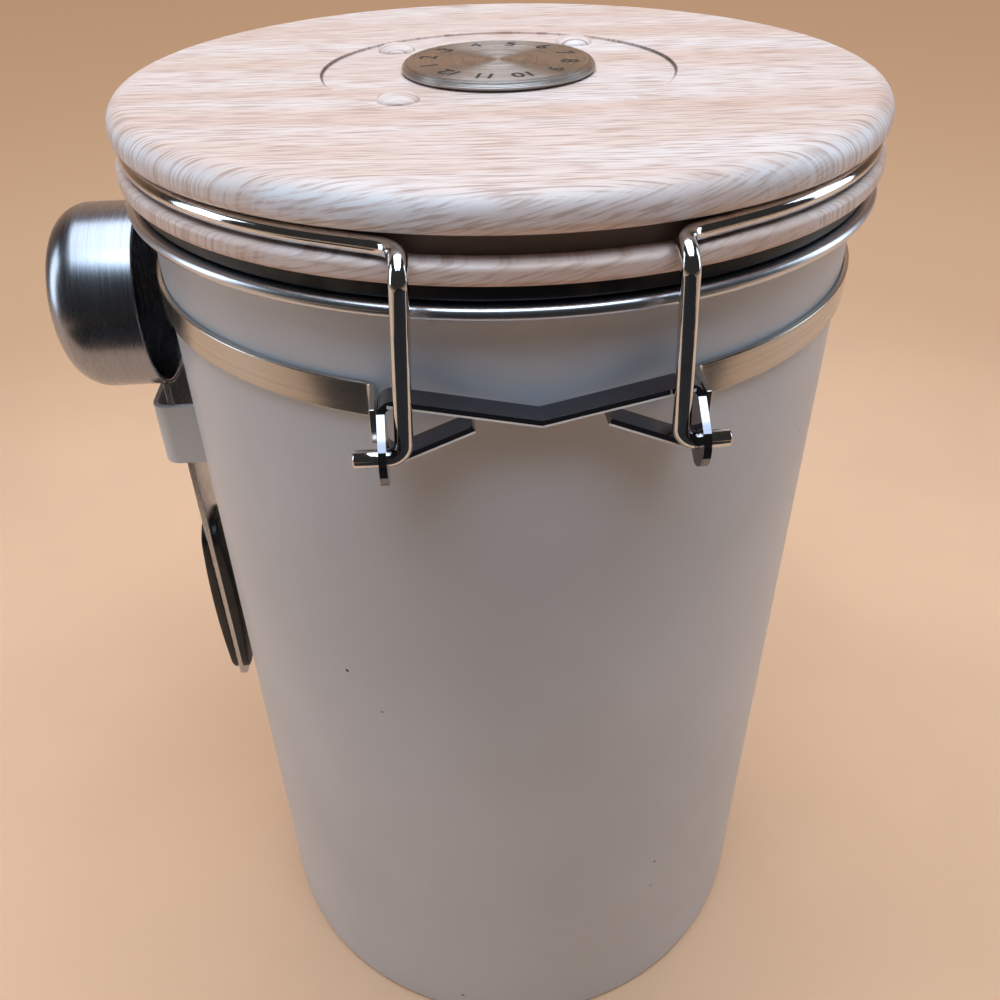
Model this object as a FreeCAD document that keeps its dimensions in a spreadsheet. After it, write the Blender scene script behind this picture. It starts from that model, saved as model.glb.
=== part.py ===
import FreeCAD, Part
import math
import os
import re

import Sketcher
from FreeCAD import Placement, Rotation, Vector

os.makedirs("parts", exist_ok=True)

# Driving dimensions in millimetres and degrees. The can stands on z = 0 with its axis on +Z,
# the lid hinge faces -Y, the latch +Y and the scoop -X.
SIZES = {
    # can
    "can_radius": 56.0,
    "can_wall": 0.8,
    "can_height": 170.8,
    "base_round": 1.4,
    "base_lift": 1.2,
    "panel_inset": 10.0,
    "panel_width": 8.0,
    "bead_height": 1.8,
    "bead_reach": 2.8,
    "bead_share": 0.47,
    # steel band round the neck
    "band_drop": 11.8,
    "band_height": 4.8,
    "band_thick": 0.8,
    "band_bend": 1.3,
    "band_flange": 3.4,
    "skin_gap": 0.1,
    # hinge and latch brackets
    "pin_reach": 5.3,
    "pin_drop": 17.5,
    "ear_offset": 19.6,
    "strip_thick": 1.0,
    "strip_width": 3.5,
    "strip_stand": 0.4,
    "strip_bend": 1.6,
    "ear_rise": 6.9,
    "ear_round": 3.4,
    "vee_dip": 4.3,
    "tab_end": 8.4,
    "tab_drop": 2.2,
    "tab_rise": 4.6,
    # bail wire of the lid
    "wire_radius": 1.15,
    "wire_fit": 0.08,
    "ring_inset": 1.9,
    "ring_gap": 0.15,
    "flat_inset": 4.7,
    "flat_bend": 6.0,
    "leg_offset": 17.1,
    "leg_splay": 1.1,
    "leg_lead": 5.4,
    "leg_bend": 2.4,
    "lead_setback": 2.76,
    "pin_bend": 2.0,
    "pin_end": 23.4,
    # lid
    "seal_gap": 0.2,
    "gasket_thick": 2.4,
    "gasket_inset": 1.6,
    "seat_gap": 0.3,
    "lip_gap": 0.1,
    "flange_thick": 2.7,
    "flange_reach": 3.0,
    "flange_share": 0.3,
    "groove_slack": 0.6,
    "top_thick": 5.2,
    "top_reach": 2.8,
    "top_share": 0.56,
    "under_share": 0.32,
    "core_land": 4.0,
    "core_width": 9.0,
    "recess_radius": 27.4,
    "recess_depth": 0.4,
    "recess_share": 0.35,
    "roof_thick": 1.4,
    "dome_share": 0.25,
    "dome_gap": 1.5,
    "dome_height": 1.2,
    # inner cover under the lid
    "plug_inset": 9.2,
    "plug_depth": 4.8,
    "cover_thick": 1.6,
    "cover_ledge": 3.5,
    "cover_share": 0.8,
    "post_inset": 8.4,
    "post_radius": 3.2,
    "screw_radius": 1.25,
    "screw_length": 9.0,
    "screw_head": 2.6,
    "head_height": 1.4,
    "screw_fit": 0.1,
    # one-way valve in the inner cover
    "barrel_radius": 10.0,
    "barrel_wall": 1.6,
    "barrel_height": 5.5,
    "valve_flange": 3.0,
    "seat_thick": 1.2,
    "filter_thick": 1.0,
    "vent_radius": 1.1,
    "vent_ring": 4.5,
    "disc_radius": 7.5,
    "disc_thick": 0.8,
    "disc_gap": 0.1,
    "disc_rise": 1.2,
    "retainer_bore": 5.0,
    "retainer_thick": 1.5,
    "press_gap": 0.05,
    # date dial
    "dial_radius": 15.0,
    "dial_proud": 1.1,
    "dial_gap": 0.3,
    "dial_skin": 0.5,
    "dial_round": 1.0,
    "hub_fit": 0.1,
    "stem_radius": 3.5,
    "stem_fit": 0.05,
    "boss_radius": 7.0,
    "boss_drop": 3.0,
    "washer_radius": 6.0,
    "washer_thick": 0.5,
    "washer_gap": 0.1,
    "dial_screw_head": 4.8,
    "dial_head_height": 1.8,
    "dial_screw_radius": 1.5,
    "dial_screw_length": 4.8,
    # latch, drawn just released
    "lever_rest": 20.0,
    "lever_length": 48.0,
    "lever_kick": 6.0,
    "lever_foot": 16.0,
    "lever_bend": 6.0,
    "knee_bend": 12.0,
    "crank_drop": 5.0,
    "bar_radius": 1.1,
    "link_radius": 1.0,
    "link_offset": 12.0,
    "link_bend": 2.0,
    "link_gap": 0.25,
    "link_share": 0.35,
    "eye_fit": 0.08,
    # scoop and the clip that holds it
    "scoop_clear": 0.3,
    "cup_radius": 15.5,
    "cup_depth": 15.1,
    "cup_wall": 0.6,
    "cup_round": 6.0,
    "cup_rest": 2.5,
    "neck_gap": 0.3,
    "neck_share": 0.8,
    "seat_fit": 0.03,
    "strap_thick": 1.1,
    "strap_width": 11.0,
    "strap_drop": 60.8,
    "strap_round": 4.0,
    "grip_start": 2.5,
    "grip_length": 40.5,
    "grip_width": 11.6,
    "grip_round": 4.2,
    "grip_inner": 2.0,
    "grip_outer": 1.8,
    "grip_sag": 0.9,
    "grip_edge": 0.5,
    "rivet_radius": 1.5,
    "rivet_inset": 8.0,
    "rivet_fit": 0.05,
    "rivet_sink": 0.15,
    "clip_drop": 22.4,
    "clip_height": 12.0,
    "clip_wall": 1.0,
    "clip_bend": 2.4,
    "clip_clear": 0.3,
    "clip_side": 1.6,
}

# Dimensions that follow from the driving ones, in the order in which they depend on each other.
DERIVED = {
    "can_inner": "can_radius - can_wall",
    "bead_radius": "can_radius + bead_reach",
    "bead_low": "can_height - bead_height",
    "bead_round": "bead_share * bead_height",
    "panel_outer": "can_radius - panel_inset",
    "panel_inner": "panel_outer - panel_width",
    "panel_high": "base_lift + can_wall",
    "inner_round": "base_round - can_wall / 2",
    "band_low": "can_height - band_drop - band_height",
    "hinge_reach": "can_radius + pin_reach",
    "pin_level": "can_height - pin_drop",
    "ear_outer": "ear_offset + strip_thick / 2",
    "gasket_low": "can_height + seal_gap",
    "flange_low": "gasket_low + gasket_thick",
    "flange_high": "flange_low + flange_thick",
    "flange_radius": "can_radius + flange_reach",
    "flange_round": "flange_share * flange_thick",
    "groove_height": "2 * wire_radius + groove_slack",
    "wire_level": "flange_high + groove_height / 2",
    "ring_radius": "flange_radius - ring_inset",
    "ring_flat": "flange_radius - flat_inset",
    "leg_top": "leg_offset - leg_splay",
    "core_radius": "ring_radius - wire_radius - ring_gap",
    "core_flat": "ring_flat - wire_radius - ring_gap",
    "core_bore": "core_radius - core_width",
    "cavity_radius": "core_radius - core_land",
    "top_low": "flange_high + groove_height",
    "top_high": "top_low + top_thick",
    "top_radius": "can_radius + top_reach",
    "top_round": "top_share * top_thick",
    "under_round": "under_share * top_thick",
    "recess_level": "top_high - recess_depth",
    "recess_edge": "recess_share * recess_depth",
    "dome_radius": "dome_share * (recess_radius - dial_radius)",
    "dome_ring": "recess_radius - dome_radius - dome_gap",
    "roof_level": "recess_level - roof_thick",
    "plug_radius": "can_inner - plug_inset",
    "plug_bore": "plug_radius - cover_thick",
    "post_ring": "plug_bore - post_inset",
    "ledge_radius": "plug_radius + cover_ledge",
    "ledge_low": "flange_low - cover_thick",
    "cover_low": "can_height - plug_depth",
    "cover_floor": "cover_low + cover_thick",
    "cover_round": "cover_share * cover_thick",
    "gasket_outer": "flange_radius - gasket_inset",
    "gasket_inner": "ledge_radius + seat_gap",
    "lip_inner": "plug_radius + seat_gap",
    "lip_high": "ledge_low - lip_gap",
    "cover_bore": "barrel_radius + press_gap",
    "barrel_bore": "barrel_radius - barrel_wall",
    "snap_radius": "barrel_bore - press_gap",
    "barrel_high": "cover_low + barrel_height",
    "valve_radius": "barrel_radius + valve_flange",
    "valve_low": "cover_low - filter_thick - seat_gap",
    "valve_seat": "cover_low + seat_thick",
    "disc_low": "valve_seat + disc_gap",
    "retainer_low": "disc_low + disc_thick + disc_rise",
    "dial_low": "recess_level + dial_gap",
    "dial_high": "top_high + dial_proud",
    "dial_inside": "dial_high - dial_skin",
    "dial_bore": "dial_radius - dial_skin",
    "dial_inner_round": "dial_round - dial_skin",
    "hub_radius": "dial_bore - hub_fit",
    "hub_round": "dial_inner_round + hub_fit",
    "boss_low": "roof_level - boss_drop",
    "washer_high": "boss_low - washer_gap",
    "washer_low": "washer_high - washer_thick",
    "washer_bore": "stem_radius + hub_fit",
    "dial_screw_tip": "washer_low + dial_screw_length",
    "crank_level": "pin_level - crank_drop",
    "link_seat": "ring_flat + wire_radius + link_gap + link_radius",
    "eye_radius": "bar_radius + eye_fit + link_radius",
    "strap_inner": "flange_radius + scoop_clear",
    "strap_outer": "strap_inner + strap_thick",
    "clip_high": "band_low - clip_drop",
    "clip_level": "clip_high - clip_height",
    "cup_level": "clip_high + cup_rest + cup_radius",
    "cup_inner": "cup_radius - cup_wall",
    "cup_floor": "cup_depth - cup_wall",
    "cup_inner_round": "cup_round - cup_wall",
    "strap_tip": "clip_level - strap_drop",
    "grip_low": "strap_tip + grip_start",
    "grip_bow": "grip_length * grip_length / (8 * grip_sag) + grip_sag / 2",
    "rivet_low": "grip_low + rivet_inset",
    "rivet_high": "grip_low + grip_length - rivet_inset",
    "clip_inside": "strap_outer + grip_outer + clip_clear",
    "clip_half": "grip_width / 2 + clip_side",
    "neck_width": "2 * clip_half + clip_wall",
    "neck_low": "clip_high + neck_gap",
    "strap_high": "cup_level - neck_share * cup_radius",
}

AXIS = "0"
GROUND = "0"
TOLERANCE = 1e-6
SCREWS = 4
VENTS = 6
EAR_ARC = (math.pi / 4, -math.pi / 8, -math.pi / 2)
DOME_AZIMUTHS = (-133.0, 134.0, 51.0)
X_AXIS = Vector(1, 0, 0)
Z_AXIS = Vector(0, 0, 1)
TURN_TO_X = Rotation(Vector(0, 1, 0), 90)
TURN_TO_MINUS_X = Rotation(Vector(0, 1, 0), -90)
NO_TURN = Rotation()

doc = FreeCAD.newDocument("canister")
sheet = doc.addObject("Spreadsheet::Sheet", "Sizes")
nodes = []


def fill_sheet():
    """Writes every driving and derived dimension to the sheet under its own alias."""
    rows = [(name, str(number)) for name, number in SIZES.items()]
    rows += [(name, "=" + formula) for name, formula in DERIVED.items()]
    for row, (name, content) in enumerate(rows, 1):
        sheet.set(f"A{row}", name)
        sheet.set(f"B{row}", content)
        sheet.setAlias(f"B{row}", name)
    doc.recompute()


def size(name):
    """Gives the number that the sheet holds under an alias; the ground level is zero."""
    return 0.0 if name == GROUND else float(sheet.get(name))


def bound(formula):
    """Turns a formula of aliases into an expression that reads the sheet."""
    return re.sub(r"[a-z]\w*", lambda found: "Sizes." + found.group(0), formula)


def bind(item, **formulas):
    """Binds properties of an object to formulas of the sheet's aliases."""
    for name, formula in formulas.items():
        item.setExpression(name, bound(formula))


def place(item, x="0", y="0", z="0", turn=NO_TURN):
    """Turns an object, then binds the three coordinates of its position."""
    item.Placement = Placement(Vector(), turn)
    for axis, formula in (("x", x), ("y", y), ("z", z)):
        item.setExpression(f"Placement.Base.{axis}", bound(formula))


def keep(item, label):
    """Labels a finished sub-part and lists it for the export."""
    item.Label = label
    nodes.append(item)
    return item


def primitive(kind, name, at=("0", "0", "0"), turn=NO_TURN, **formulas):
    """Adds a Part primitive with bound sizes and position."""
    item = doc.addObject("Part::" + kind, name)
    bind(item, **formulas)
    place(item, *at, turn=turn)
    return item


def fused(name, *items):
    """Joins objects into one solid."""
    union = doc.addObject("Part::MultiFuse", name)
    union.Shapes = list(items)
    return union


def cut(name, base, tool):
    """Takes one object away from another."""
    result = doc.addObject("Part::Cut", name)
    result.Base = base
    result.Tool = tool
    return result


def shape(name, made):
    """Adds a computed shape that other objects are built on."""
    item = doc.addObject("Part::Feature", name)
    item.Shape = made
    return item


def extruded(name, face, direction, formula):
    """Extrudes a face along a direction by a bound length."""
    solid = doc.addObject("Part::Extrusion", name)
    solid.Base = shape(name + "_face", face)
    solid.DirMode = "Custom"
    solid.Dir = direction
    solid.Solid = True
    bind(solid, LengthFwd=formula)
    return solid


def origin_feature(body, role):
    """Finds a plane or axis of a body's own origin."""
    return next(item for item in body.Origin.OriginFeatures if item.Role == role)


def outline(sketch, corners):
    """Draws a closed polygon whose corners are bound to formulas of (x, y)."""
    count = len(corners)
    step = 2 * math.pi / count
    start = [Vector(math.cos(step * n), math.sin(step * n), 0) for n in range(count)]
    for n in range(count):
        sketch.addGeometry(Part.LineSegment(start[n], start[(n + 1) % count]), False)
    rules = [Sketcher.Constraint("Coincident", n, 2, (n + 1) % count, 1) for n in range(count)]
    for n in range(count):
        rules.append(Sketcher.Constraint("DistanceX", -1, 1, n, 1, start[n].x))
        rules.append(Sketcher.Constraint("DistanceY", -1, 1, n, 1, start[n].y))
    sketch.addConstraint(rules)
    for n, pair in enumerate(corners):
        for offset, formula in enumerate(pair):
            sketch.setExpression(f"Constraints[{count + 2 * n + offset}]", bound(formula))


def revolved(label, corners):
    """Makes a body by turning a polygon of (radius, height) formulas round the vertical axis."""
    body = keep(doc.addObject("PartDesign::Body", label), label)
    sketch = body.newObject("Sketcher::SketchObject", label + "_outline")
    sketch.AttachmentSupport = (origin_feature(body, "XZ_Plane"), [""])
    sketch.MapMode = "FlatFace"
    outline(sketch, corners)
    turned = body.newObject("PartDesign::Revolution", label + "_turned")
    turned.Profile = sketch
    turned.ReferenceAxis = (sketch, ["V_Axis"])
    turned.Angle = 360
    return body


def feature(body, kind, name, at=("0", "0", "0"), turn=NO_TURN, **formulas):
    """Adds a PartDesign primitive to a body with bound sizes and position."""
    item = body.newObject("PartDesign::" + kind, name)
    bind(item, **formulas)
    place(item, *at, turn=turn)
    return item


def patterned(body, item, count):
    """Repeats a feature evenly round the vertical axis of its body."""
    ring = body.newObject("PartDesign::PolarPattern", item.Name + "_ring")
    ring.Originals = [item]
    ring.Axis = (origin_feature(body, "Z_Axis"), [""])
    ring.Angle = 360
    ring.Occurrences = count
    body.Tip = ring


def rounded(body, radius, wanted):
    """Fillets the edges of a body that a test picks out."""
    doc.recompute()
    tip = body.Tip
    picked = [f"Edge{n}" for n, edge in enumerate(tip.Shape.Edges, 1) if wanted(edge)]
    fillet = body.newObject("PartDesign::Fillet", f"{body.Name}_{radius}")
    fillet.Base = (tip, picked)
    bind(fillet, Radius=radius)


def ring_at(*rings):
    """Gives a test for circular edges of the named (radius, height) pairs."""
    pairs = [(size(radius), size(height)) for radius, height in rings]

    def wanted(edge):
        if edge.Degenerated or not isinstance(edge.Curve, Part.Circle):
            return False
        found = (edge.Curve.Radius, edge.Curve.Center.z)
        return any(math.dist(found, pair) < TOLERANCE for pair in pairs)

    return wanted


def along(axis):
    """Gives a test for straight edges that run along an axis."""

    def wanted(edge):
        if edge.Degenerated or not isinstance(edge.Curve, Part.Line):
            return False
        return abs(edge.Curve.Direction.dot(axis)) > math.cos(math.radians(1))

    return wanted


def line(start, end):
    """Makes a straight edge."""
    return Part.LineSegment(start, end).toShape()


def arc(start, middle, end):
    """Makes a circular edge through three points."""
    return Part.Arc(start, middle, end).toShape()


def bent_route(points, radii):
    """Joins points with straight edges and rounds each corner to its centre-line radius."""
    edges = []
    start = points[0]
    for before, corner, after, radius in zip(points, points[1:], points[2:], radii):
        back = (before - corner).normalize()
        ahead = (after - corner).normalize()
        half = back.getAngle(ahead) / 2
        setback = radius / math.tan(half)
        entry = corner + back * setback
        leave = corner + ahead * setback
        middle = corner + (back + ahead).normalize() * (radius / math.sin(half) - radius)
        edges += [line(start, entry), arc(entry, middle, leave)]
        start = leave
    edges.append(line(start, points[-1]))
    return edges


def bent_strip(points, thick, bend):
    """Makes the flat section of a strip bent along a centre line, all in one plane."""
    normal = (points[1] - points[0]).cross(points[2] - points[1]).normalize()
    sides = []
    for offset in (thick / 2, -thick / 2):
        moved = []
        radii = []
        legs = [(after - before).normalize() for before, after in zip(points, points[1:])]
        aside = [normal.cross(leg) for leg in legs]
        moved.append(points[0] + aside[0] * offset)
        for corner, left, right in zip(points[1:], aside, aside[1:]):
            miter = (left + right).normalize()
            moved.append(corner + miter * (offset / miter.dot(left)))
            turn = math.copysign(1, left.cross(right).dot(normal))
            radii.append(bend - turn * offset)
        moved.append(points[-1] + aside[-1] * offset)
        sides.append(bent_route(moved, radii))
    ends = [line(sides[0][n].Vertexes[n].Point, sides[1][n].Vertexes[n].Point) for n in (0, -1)]
    return Part.Face(Part.Wire(Part.__sortEdges__(sides[0] + sides[1] + ends)))


def wire_form(name, edges, radius):
    """Sweeps a round wire along a route of edges."""
    route = Part.Wire(Part.__sortEdges__(edges))
    first = route.OrderedEdges[0]
    tangent = first.tangentAt(first.FirstParameter)
    section = doc.addObject("Part::Circle", name + "_section")
    bind(section, Radius=radius)
    section.Placement = Placement(first.valueAt(first.FirstParameter), Rotation(Z_AXIS, tangent))
    swept = doc.addObject("Part::Sweep", name)
    swept.Sections = [section]
    swept.Spine = (shape(name + "_route", route), [f"Edge{n}" for n in range(1, len(edges) + 1)])
    swept.Solid = True
    return swept


def polar(radius, degrees):
    """Gives the formulas of x and y at an azimuth on a bound radius."""
    angle = math.radians(degrees)
    return f"{radius} * {math.cos(angle):.9f}", f"{radius} * {math.sin(angle):.9f}"


def on_circle(radius, degrees, height):
    """Gives a point at an azimuth round the vertical axis."""
    angle = math.radians(degrees)
    return Vector(radius * math.cos(angle), radius * math.sin(angle), height)


def mirrored(point):
    """Gives a point on the other side of the plane through the hinge and the latch."""
    return Vector(-point.x, point.y, point.z)


def can():
    """Can: drawn steel shell with a stiffening ring pressed into its base and a rolled rim."""
    body = revolved("can_body", [
        (AXIS, GROUND), ("panel_inner", GROUND), ("panel_inner + base_lift", "base_lift"),
        ("panel_outer - base_lift", "base_lift"), ("panel_outer", GROUND), ("can_radius", GROUND),
        ("can_radius", "bead_low"), ("bead_radius", "bead_low"), ("bead_radius", "can_height"),
        ("can_inner", "can_height"), ("can_inner", "can_wall"), ("panel_outer", "can_wall"),
        ("panel_outer - base_lift", "panel_high"), ("panel_inner + base_lift", "panel_high"),
        ("panel_inner", "can_wall"), (AXIS, "can_wall")])
    rounded(body, "base_round", ring_at(("can_radius", GROUND)))
    rounded(body, "inner_round", ring_at(("can_inner", "can_wall")))
    rounded(body, "bead_round", ring_at(("bead_radius", "bead_low"), ("bead_radius", "can_height")))


def band(label, side):
    """Half of the neck band; its ends turn out along the ears of the two brackets."""
    radius = size("can_radius") + size("skin_gap") + size("band_thick") / 2
    bend = size("band_bend")
    flat = size("ear_outer") + size("skin_gap") + size("band_thick") / 2
    centre_x = flat + bend
    centre_y = math.sqrt((radius + bend) ** 2 - centre_x ** 2)
    tip = size("can_radius") + size("band_flange")
    level = size("band_low")

    def run(offset):
        edges = []
        touch = []
        for end in (-1, 1):
            centre = Vector(side * centre_x, end * centre_y, level)
            inward = Vector(-side * centre_x, -end * centre_y, 0).normalize()
            aside = Vector(-side, 0, 0)
            reach = bend - offset
            middle = centre + (inward + aside).normalize() * reach
            leave = centre + aside * reach
            touch.append(centre + inward * reach)
            edges += [arc(touch[-1], middle, leave), line(leave, Vector(leave.x, end * tip, level))]
        edges.append(arc(touch[0], Vector(side * (radius + offset), 0, level), touch[1]))
        return edges

    half = size("band_thick") / 2
    inner = side * (flat - half)
    outer = side * (flat + half)
    ends = [line(Vector(inner, end * tip, level), Vector(outer, end * tip, level)) for end in (-1, 1)]
    face = Part.Face(Part.Wire(Part.__sortEdges__(run(-half) + run(half) + ends)))
    keep(extruded(label, face, Z_AXIS, "band_height"), label)


def bracket(label, turn):
    """Bent strip with two ears that carry the ends of a wire form."""
    ear = size("ear_offset")
    level = size("pin_level")
    low = level - size("tab_drop")
    high = level + size("ear_rise")
    back = -(size("can_radius") + size("strip_stand"))
    front = back - size("strip_width")
    bend = size("strip_bend")
    half = [Vector(size("tab_end"), back, low + size("tab_rise")), Vector(ear, back, low),
            Vector(ear, back, high)]
    other = [mirrored(point) for point in reversed(half)]
    points = half + [Vector(0, back, high - size("vee_dip"))] + other
    strip = bent_strip(points, size("strip_thick"), bend)
    pieces = [extruded(label + "_strip", strip, Vector(0, -1, 0), "strip_width")]
    radius = size("ear_round")
    for side in (-1, 1):
        pin = Vector(side * ear - size("strip_thick") / 2, -size("hinge_reach"), level)
        brow, nose, chin = [pin + Vector(0, -radius * math.cos(angle), radius * math.sin(angle))
                            for angle in EAR_ARC]
        corners = [chin, Vector(pin.x, back, low + bend), Vector(pin.x, back, high - bend),
                   Vector(pin.x, front, high - bend), brow]
        edges = [line(start, end) for start, end in zip(corners, corners[1:])]
        lug = Part.Face(Part.Wire(edges + [arc(brow, nose, chin)]))
        pieces.append(extruded(f"{label}_ear_{len(pieces)}", lug, X_AXIS, "strip_thick"))
    hole = primitive("Cylinder", label + "_holes", ("-pin_end", "-hinge_reach", "pin_level"), TURN_TO_X,
                     Radius="wire_radius + wire_fit", Height="2 * pin_end")
    finished = keep(cut(label, fused(label + "_blank", *pieces), hole), label)
    finished.Placement = Placement(Vector(), Rotation(Z_AXIS, turn))


def bail_wire():
    """Bail: one wire that rings the lid's groove, flat by the latch, and ends in the two hinge pins."""
    level = size("wire_level")
    radius = size("ring_radius")
    reach = size("hinge_reach")
    corner = Vector(size("leg_top"), size("leg_lead") - reach, level)
    spread = math.acos(radius / math.hypot(corner.x, corner.y))
    touch_angle = math.degrees(math.atan2(corner.y, corner.x) + spread)
    touch = on_circle(radius, touch_angle, level)
    flat = size("ring_flat")
    bend = size("flat_bend")
    centre = Vector(math.sqrt((radius - bend) ** 2 - (flat - bend) ** 2), flat - bend, level)
    leave_angle = math.degrees(math.atan2(centre.y, centre.x))
    leave = on_circle(radius, leave_angle, level)
    halfway = on_circle(radius, (touch_angle + leave_angle) / 2, level)
    flat_end = Vector(centre.x, flat, level)
    turn = centre + (leave + flat_end - centre * 2).normalize() * bend
    legs = [Vector(size("pin_end"), -reach, size("pin_level")),
            Vector(size("leg_offset"), -reach, size("pin_level")),
            Vector(size("leg_top"), -reach, level), corner, touch]
    half = (legs[-3] - corner).getAngle(touch - corner) / 2
    radii = [size("pin_bend"), size("leg_bend"), size("lead_setback") * math.tan(half)]
    edges = [line(mirrored(flat_end), flat_end)]
    edges += bent_route(legs, radii) + [arc(touch, halfway, leave), arc(leave, turn, flat_end)]
    edges += bent_route([mirrored(point) for point in legs], radii)
    edges.append(arc(mirrored(touch), mirrored(halfway), mirrored(leave)))
    edges.append(arc(mirrored(leave), mirrored(turn), mirrored(flat_end)))
    keep(wire_form("bail_wire", edges, "wire_radius"), "bail_wire")


def lid():
    """Lid: moulded top on a core and a flange, with the gasket and the inner cover below."""
    top = revolved("lid_top", [
        (AXIS, "recess_level"), ("recess_radius", "recess_level"), ("recess_radius", "top_high"),
        ("top_radius", "top_high"), ("top_radius", "top_low"), ("cavity_radius", "top_low"),
        ("cavity_radius", "roof_level"), (AXIS, "roof_level")])
    rounded(top, "top_round", ring_at(("top_radius", "top_high")))
    rounded(top, "under_round", ring_at(("top_radius", "top_low")))
    rounded(top, "recess_edge", ring_at(("recess_radius", "top_high")))
    feature(top, "AdditiveCylinder", "dial_boss", ("0", "0", "boss_low"),
            Radius="boss_radius", Height="roof_level + roof_thick / 2 - boss_low")
    feature(top, "SubtractiveCylinder", "stem_bore", ("0", "0", "cover_low"),
            Radius="stem_radius + stem_fit", Height="top_high - cover_low")
    post = feature(top, "AdditiveCylinder", "screw_post", ("post_ring", "0", "cover_floor"),
                   Radius="post_radius", Height="roof_level + roof_thick / 2 - cover_floor")
    patterned(top, post, SCREWS)
    pilot = feature(top, "SubtractiveCylinder", "screw_pilot", ("post_ring", "0", "cover_low"),
                    Radius="screw_radius + screw_fit", Height="screw_length + screw_fit")
    patterned(top, pilot, SCREWS)
    for number, azimuth in enumerate(DOME_AZIMUTHS, 1):
        feature(top, "AdditiveEllipsoid", f"dome_{number}",
                (*polar("dome_ring", azimuth), "recess_level"),
                Radius1="dome_height", Radius2="dome_radius", Radius3="dome_radius")

    core = revolved("lid_core", [
        ("core_bore", "flange_high"), ("core_radius", "flange_high"), ("core_radius", "top_low"),
        ("core_bore", "top_low")])
    feature(core, "SubtractiveBox", "core_key", ("-core_radius", "core_flat", "flange_high - ring_gap"),
            Length="2 * core_radius", Width="core_radius", Height="groove_height + 2 * ring_gap")
    flange = revolved("lid_flange", [
        ("core_bore", "flange_low"), ("flange_radius", "flange_low"), ("flange_radius", "flange_high"),
        ("core_bore", "flange_high")])
    rounded(flange, "flange_round",
            ring_at(("flange_radius", "flange_low"), ("flange_radius", "flange_high")))

    revolved("lid_gasket", [
        ("lip_inner", "gasket_low"), ("gasket_outer", "gasket_low"), ("gasket_outer", "flange_low"),
        ("gasket_inner", "flange_low"), ("gasket_inner", "lip_high"), ("lip_inner", "lip_high")])

    cover = revolved("lid_inner_cover", [
        ("cover_bore", "cover_low"), ("plug_radius", "cover_low"), ("plug_radius", "ledge_low"),
        ("ledge_radius", "ledge_low"), ("ledge_radius", "flange_low"), ("plug_bore", "flange_low"),
        ("plug_bore", "cover_floor"), ("cover_bore", "cover_floor")])
    rounded(cover, "cover_round", ring_at(("plug_radius", "cover_low")))
    hole = feature(cover, "SubtractiveCylinder", "screw_hole", ("post_ring", "0", "valve_low"),
                   Radius="screw_radius + screw_fit", Height="cover_floor - valve_low + cover_thick")
    patterned(cover, hole, SCREWS)


def lid_screws():
    """Four equal screws that hold the inner cover to the posts of the lid."""
    screws = []
    for number in range(SCREWS):
        x, y = polar("post_ring", 360 * number / SCREWS)
        head = primitive("Cylinder", f"screw_head_{number}", (x, y, "cover_low - head_height"),
                         Radius="screw_head", Height="head_height")
        shank = primitive("Cylinder", f"screw_shank_{number}", (x, y, "cover_low - head_height / 2"),
                          Radius="screw_radius", Height="screw_length + head_height / 2")
        screws.append(fused(f"screw_{number}", head, shank))
    group = doc.addObject("Part::Compound", "lid_screws")
    group.Links = screws
    keep(group, "lid_screws")


def valve():
    """One-way valve: body with vents, a disc that lifts, a retainer ring above and a filter below."""
    body = revolved("valve_body", [
        (AXIS, "cover_low"), ("barrel_bore", "cover_low"), ("barrel_bore", "valve_low"),
        ("valve_radius", "valve_low"), ("valve_radius", "cover_low"), ("barrel_radius", "cover_low"),
        ("barrel_radius", "barrel_high"), ("barrel_bore", "barrel_high"), ("barrel_bore", "valve_seat"),
        (AXIS, "valve_seat")])
    vent = feature(body, "SubtractiveCylinder", "vent", ("vent_ring", "0", "valve_low"),
                   Radius="vent_radius", Height="disc_low - valve_low")
    patterned(body, vent, VENTS)
    revolved("valve_filter", [
        (AXIS, "cover_low - filter_thick"), ("snap_radius", "cover_low - filter_thick"),
        ("snap_radius", "cover_low"), (AXIS, "cover_low")])
    revolved("valve_disc", [
        (AXIS, "disc_low"), ("disc_radius", "disc_low"), ("disc_radius", "disc_low + disc_thick"),
        (AXIS, "disc_low + disc_thick")])
    revolved("valve_retainer", [
        ("retainer_bore", "retainer_low"), ("snap_radius", "retainer_low"),
        ("snap_radius", "retainer_low + retainer_thick"), ("retainer_bore", "retainer_low + retainer_thick")])


def dial():
    """Date dial: steel cap on a hub whose stem turns in the lid, held by a washer and a screw."""
    face = revolved("dial_face", [
        (AXIS, "dial_inside"), ("dial_bore", "dial_inside"), ("dial_bore", "dial_low"),
        ("dial_radius", "dial_low"), ("dial_radius", "dial_high"), (AXIS, "dial_high")])
    rounded(face, "dial_round", ring_at(("dial_radius", "dial_high")))
    rounded(face, "dial_inner_round", ring_at(("dial_bore", "dial_inside")))
    hub = revolved("dial_hub", [
        (AXIS, "washer_low"), ("stem_radius", "washer_low"), ("stem_radius", "dial_low"),
        ("hub_radius", "dial_low"), ("hub_radius", "dial_inside"), (AXIS, "dial_inside")])
    rounded(hub, "hub_round", ring_at(("hub_radius", "dial_inside")))
    feature(hub, "SubtractiveCylinder", "dial_screw_pilot", ("0", "0", "washer_low - washer_thick"),
            Radius="dial_screw_radius + press_gap", Height="dial_screw_length + 2 * washer_thick")
    revolved("dial_washer", [
        ("washer_bore", "washer_low"), ("washer_radius", "washer_low"), ("washer_radius", "washer_high"),
        ("washer_bore", "washer_high")])
    revolved("dial_screw", [
        (AXIS, "washer_low - dial_head_height"), ("dial_screw_head", "washer_low - dial_head_height"),
        ("dial_screw_head", "washer_low"), ("dial_screw_radius", "washer_low"),
        ("dial_screw_radius", "dial_screw_tip"), (AXIS, "dial_screw_tip")])


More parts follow.
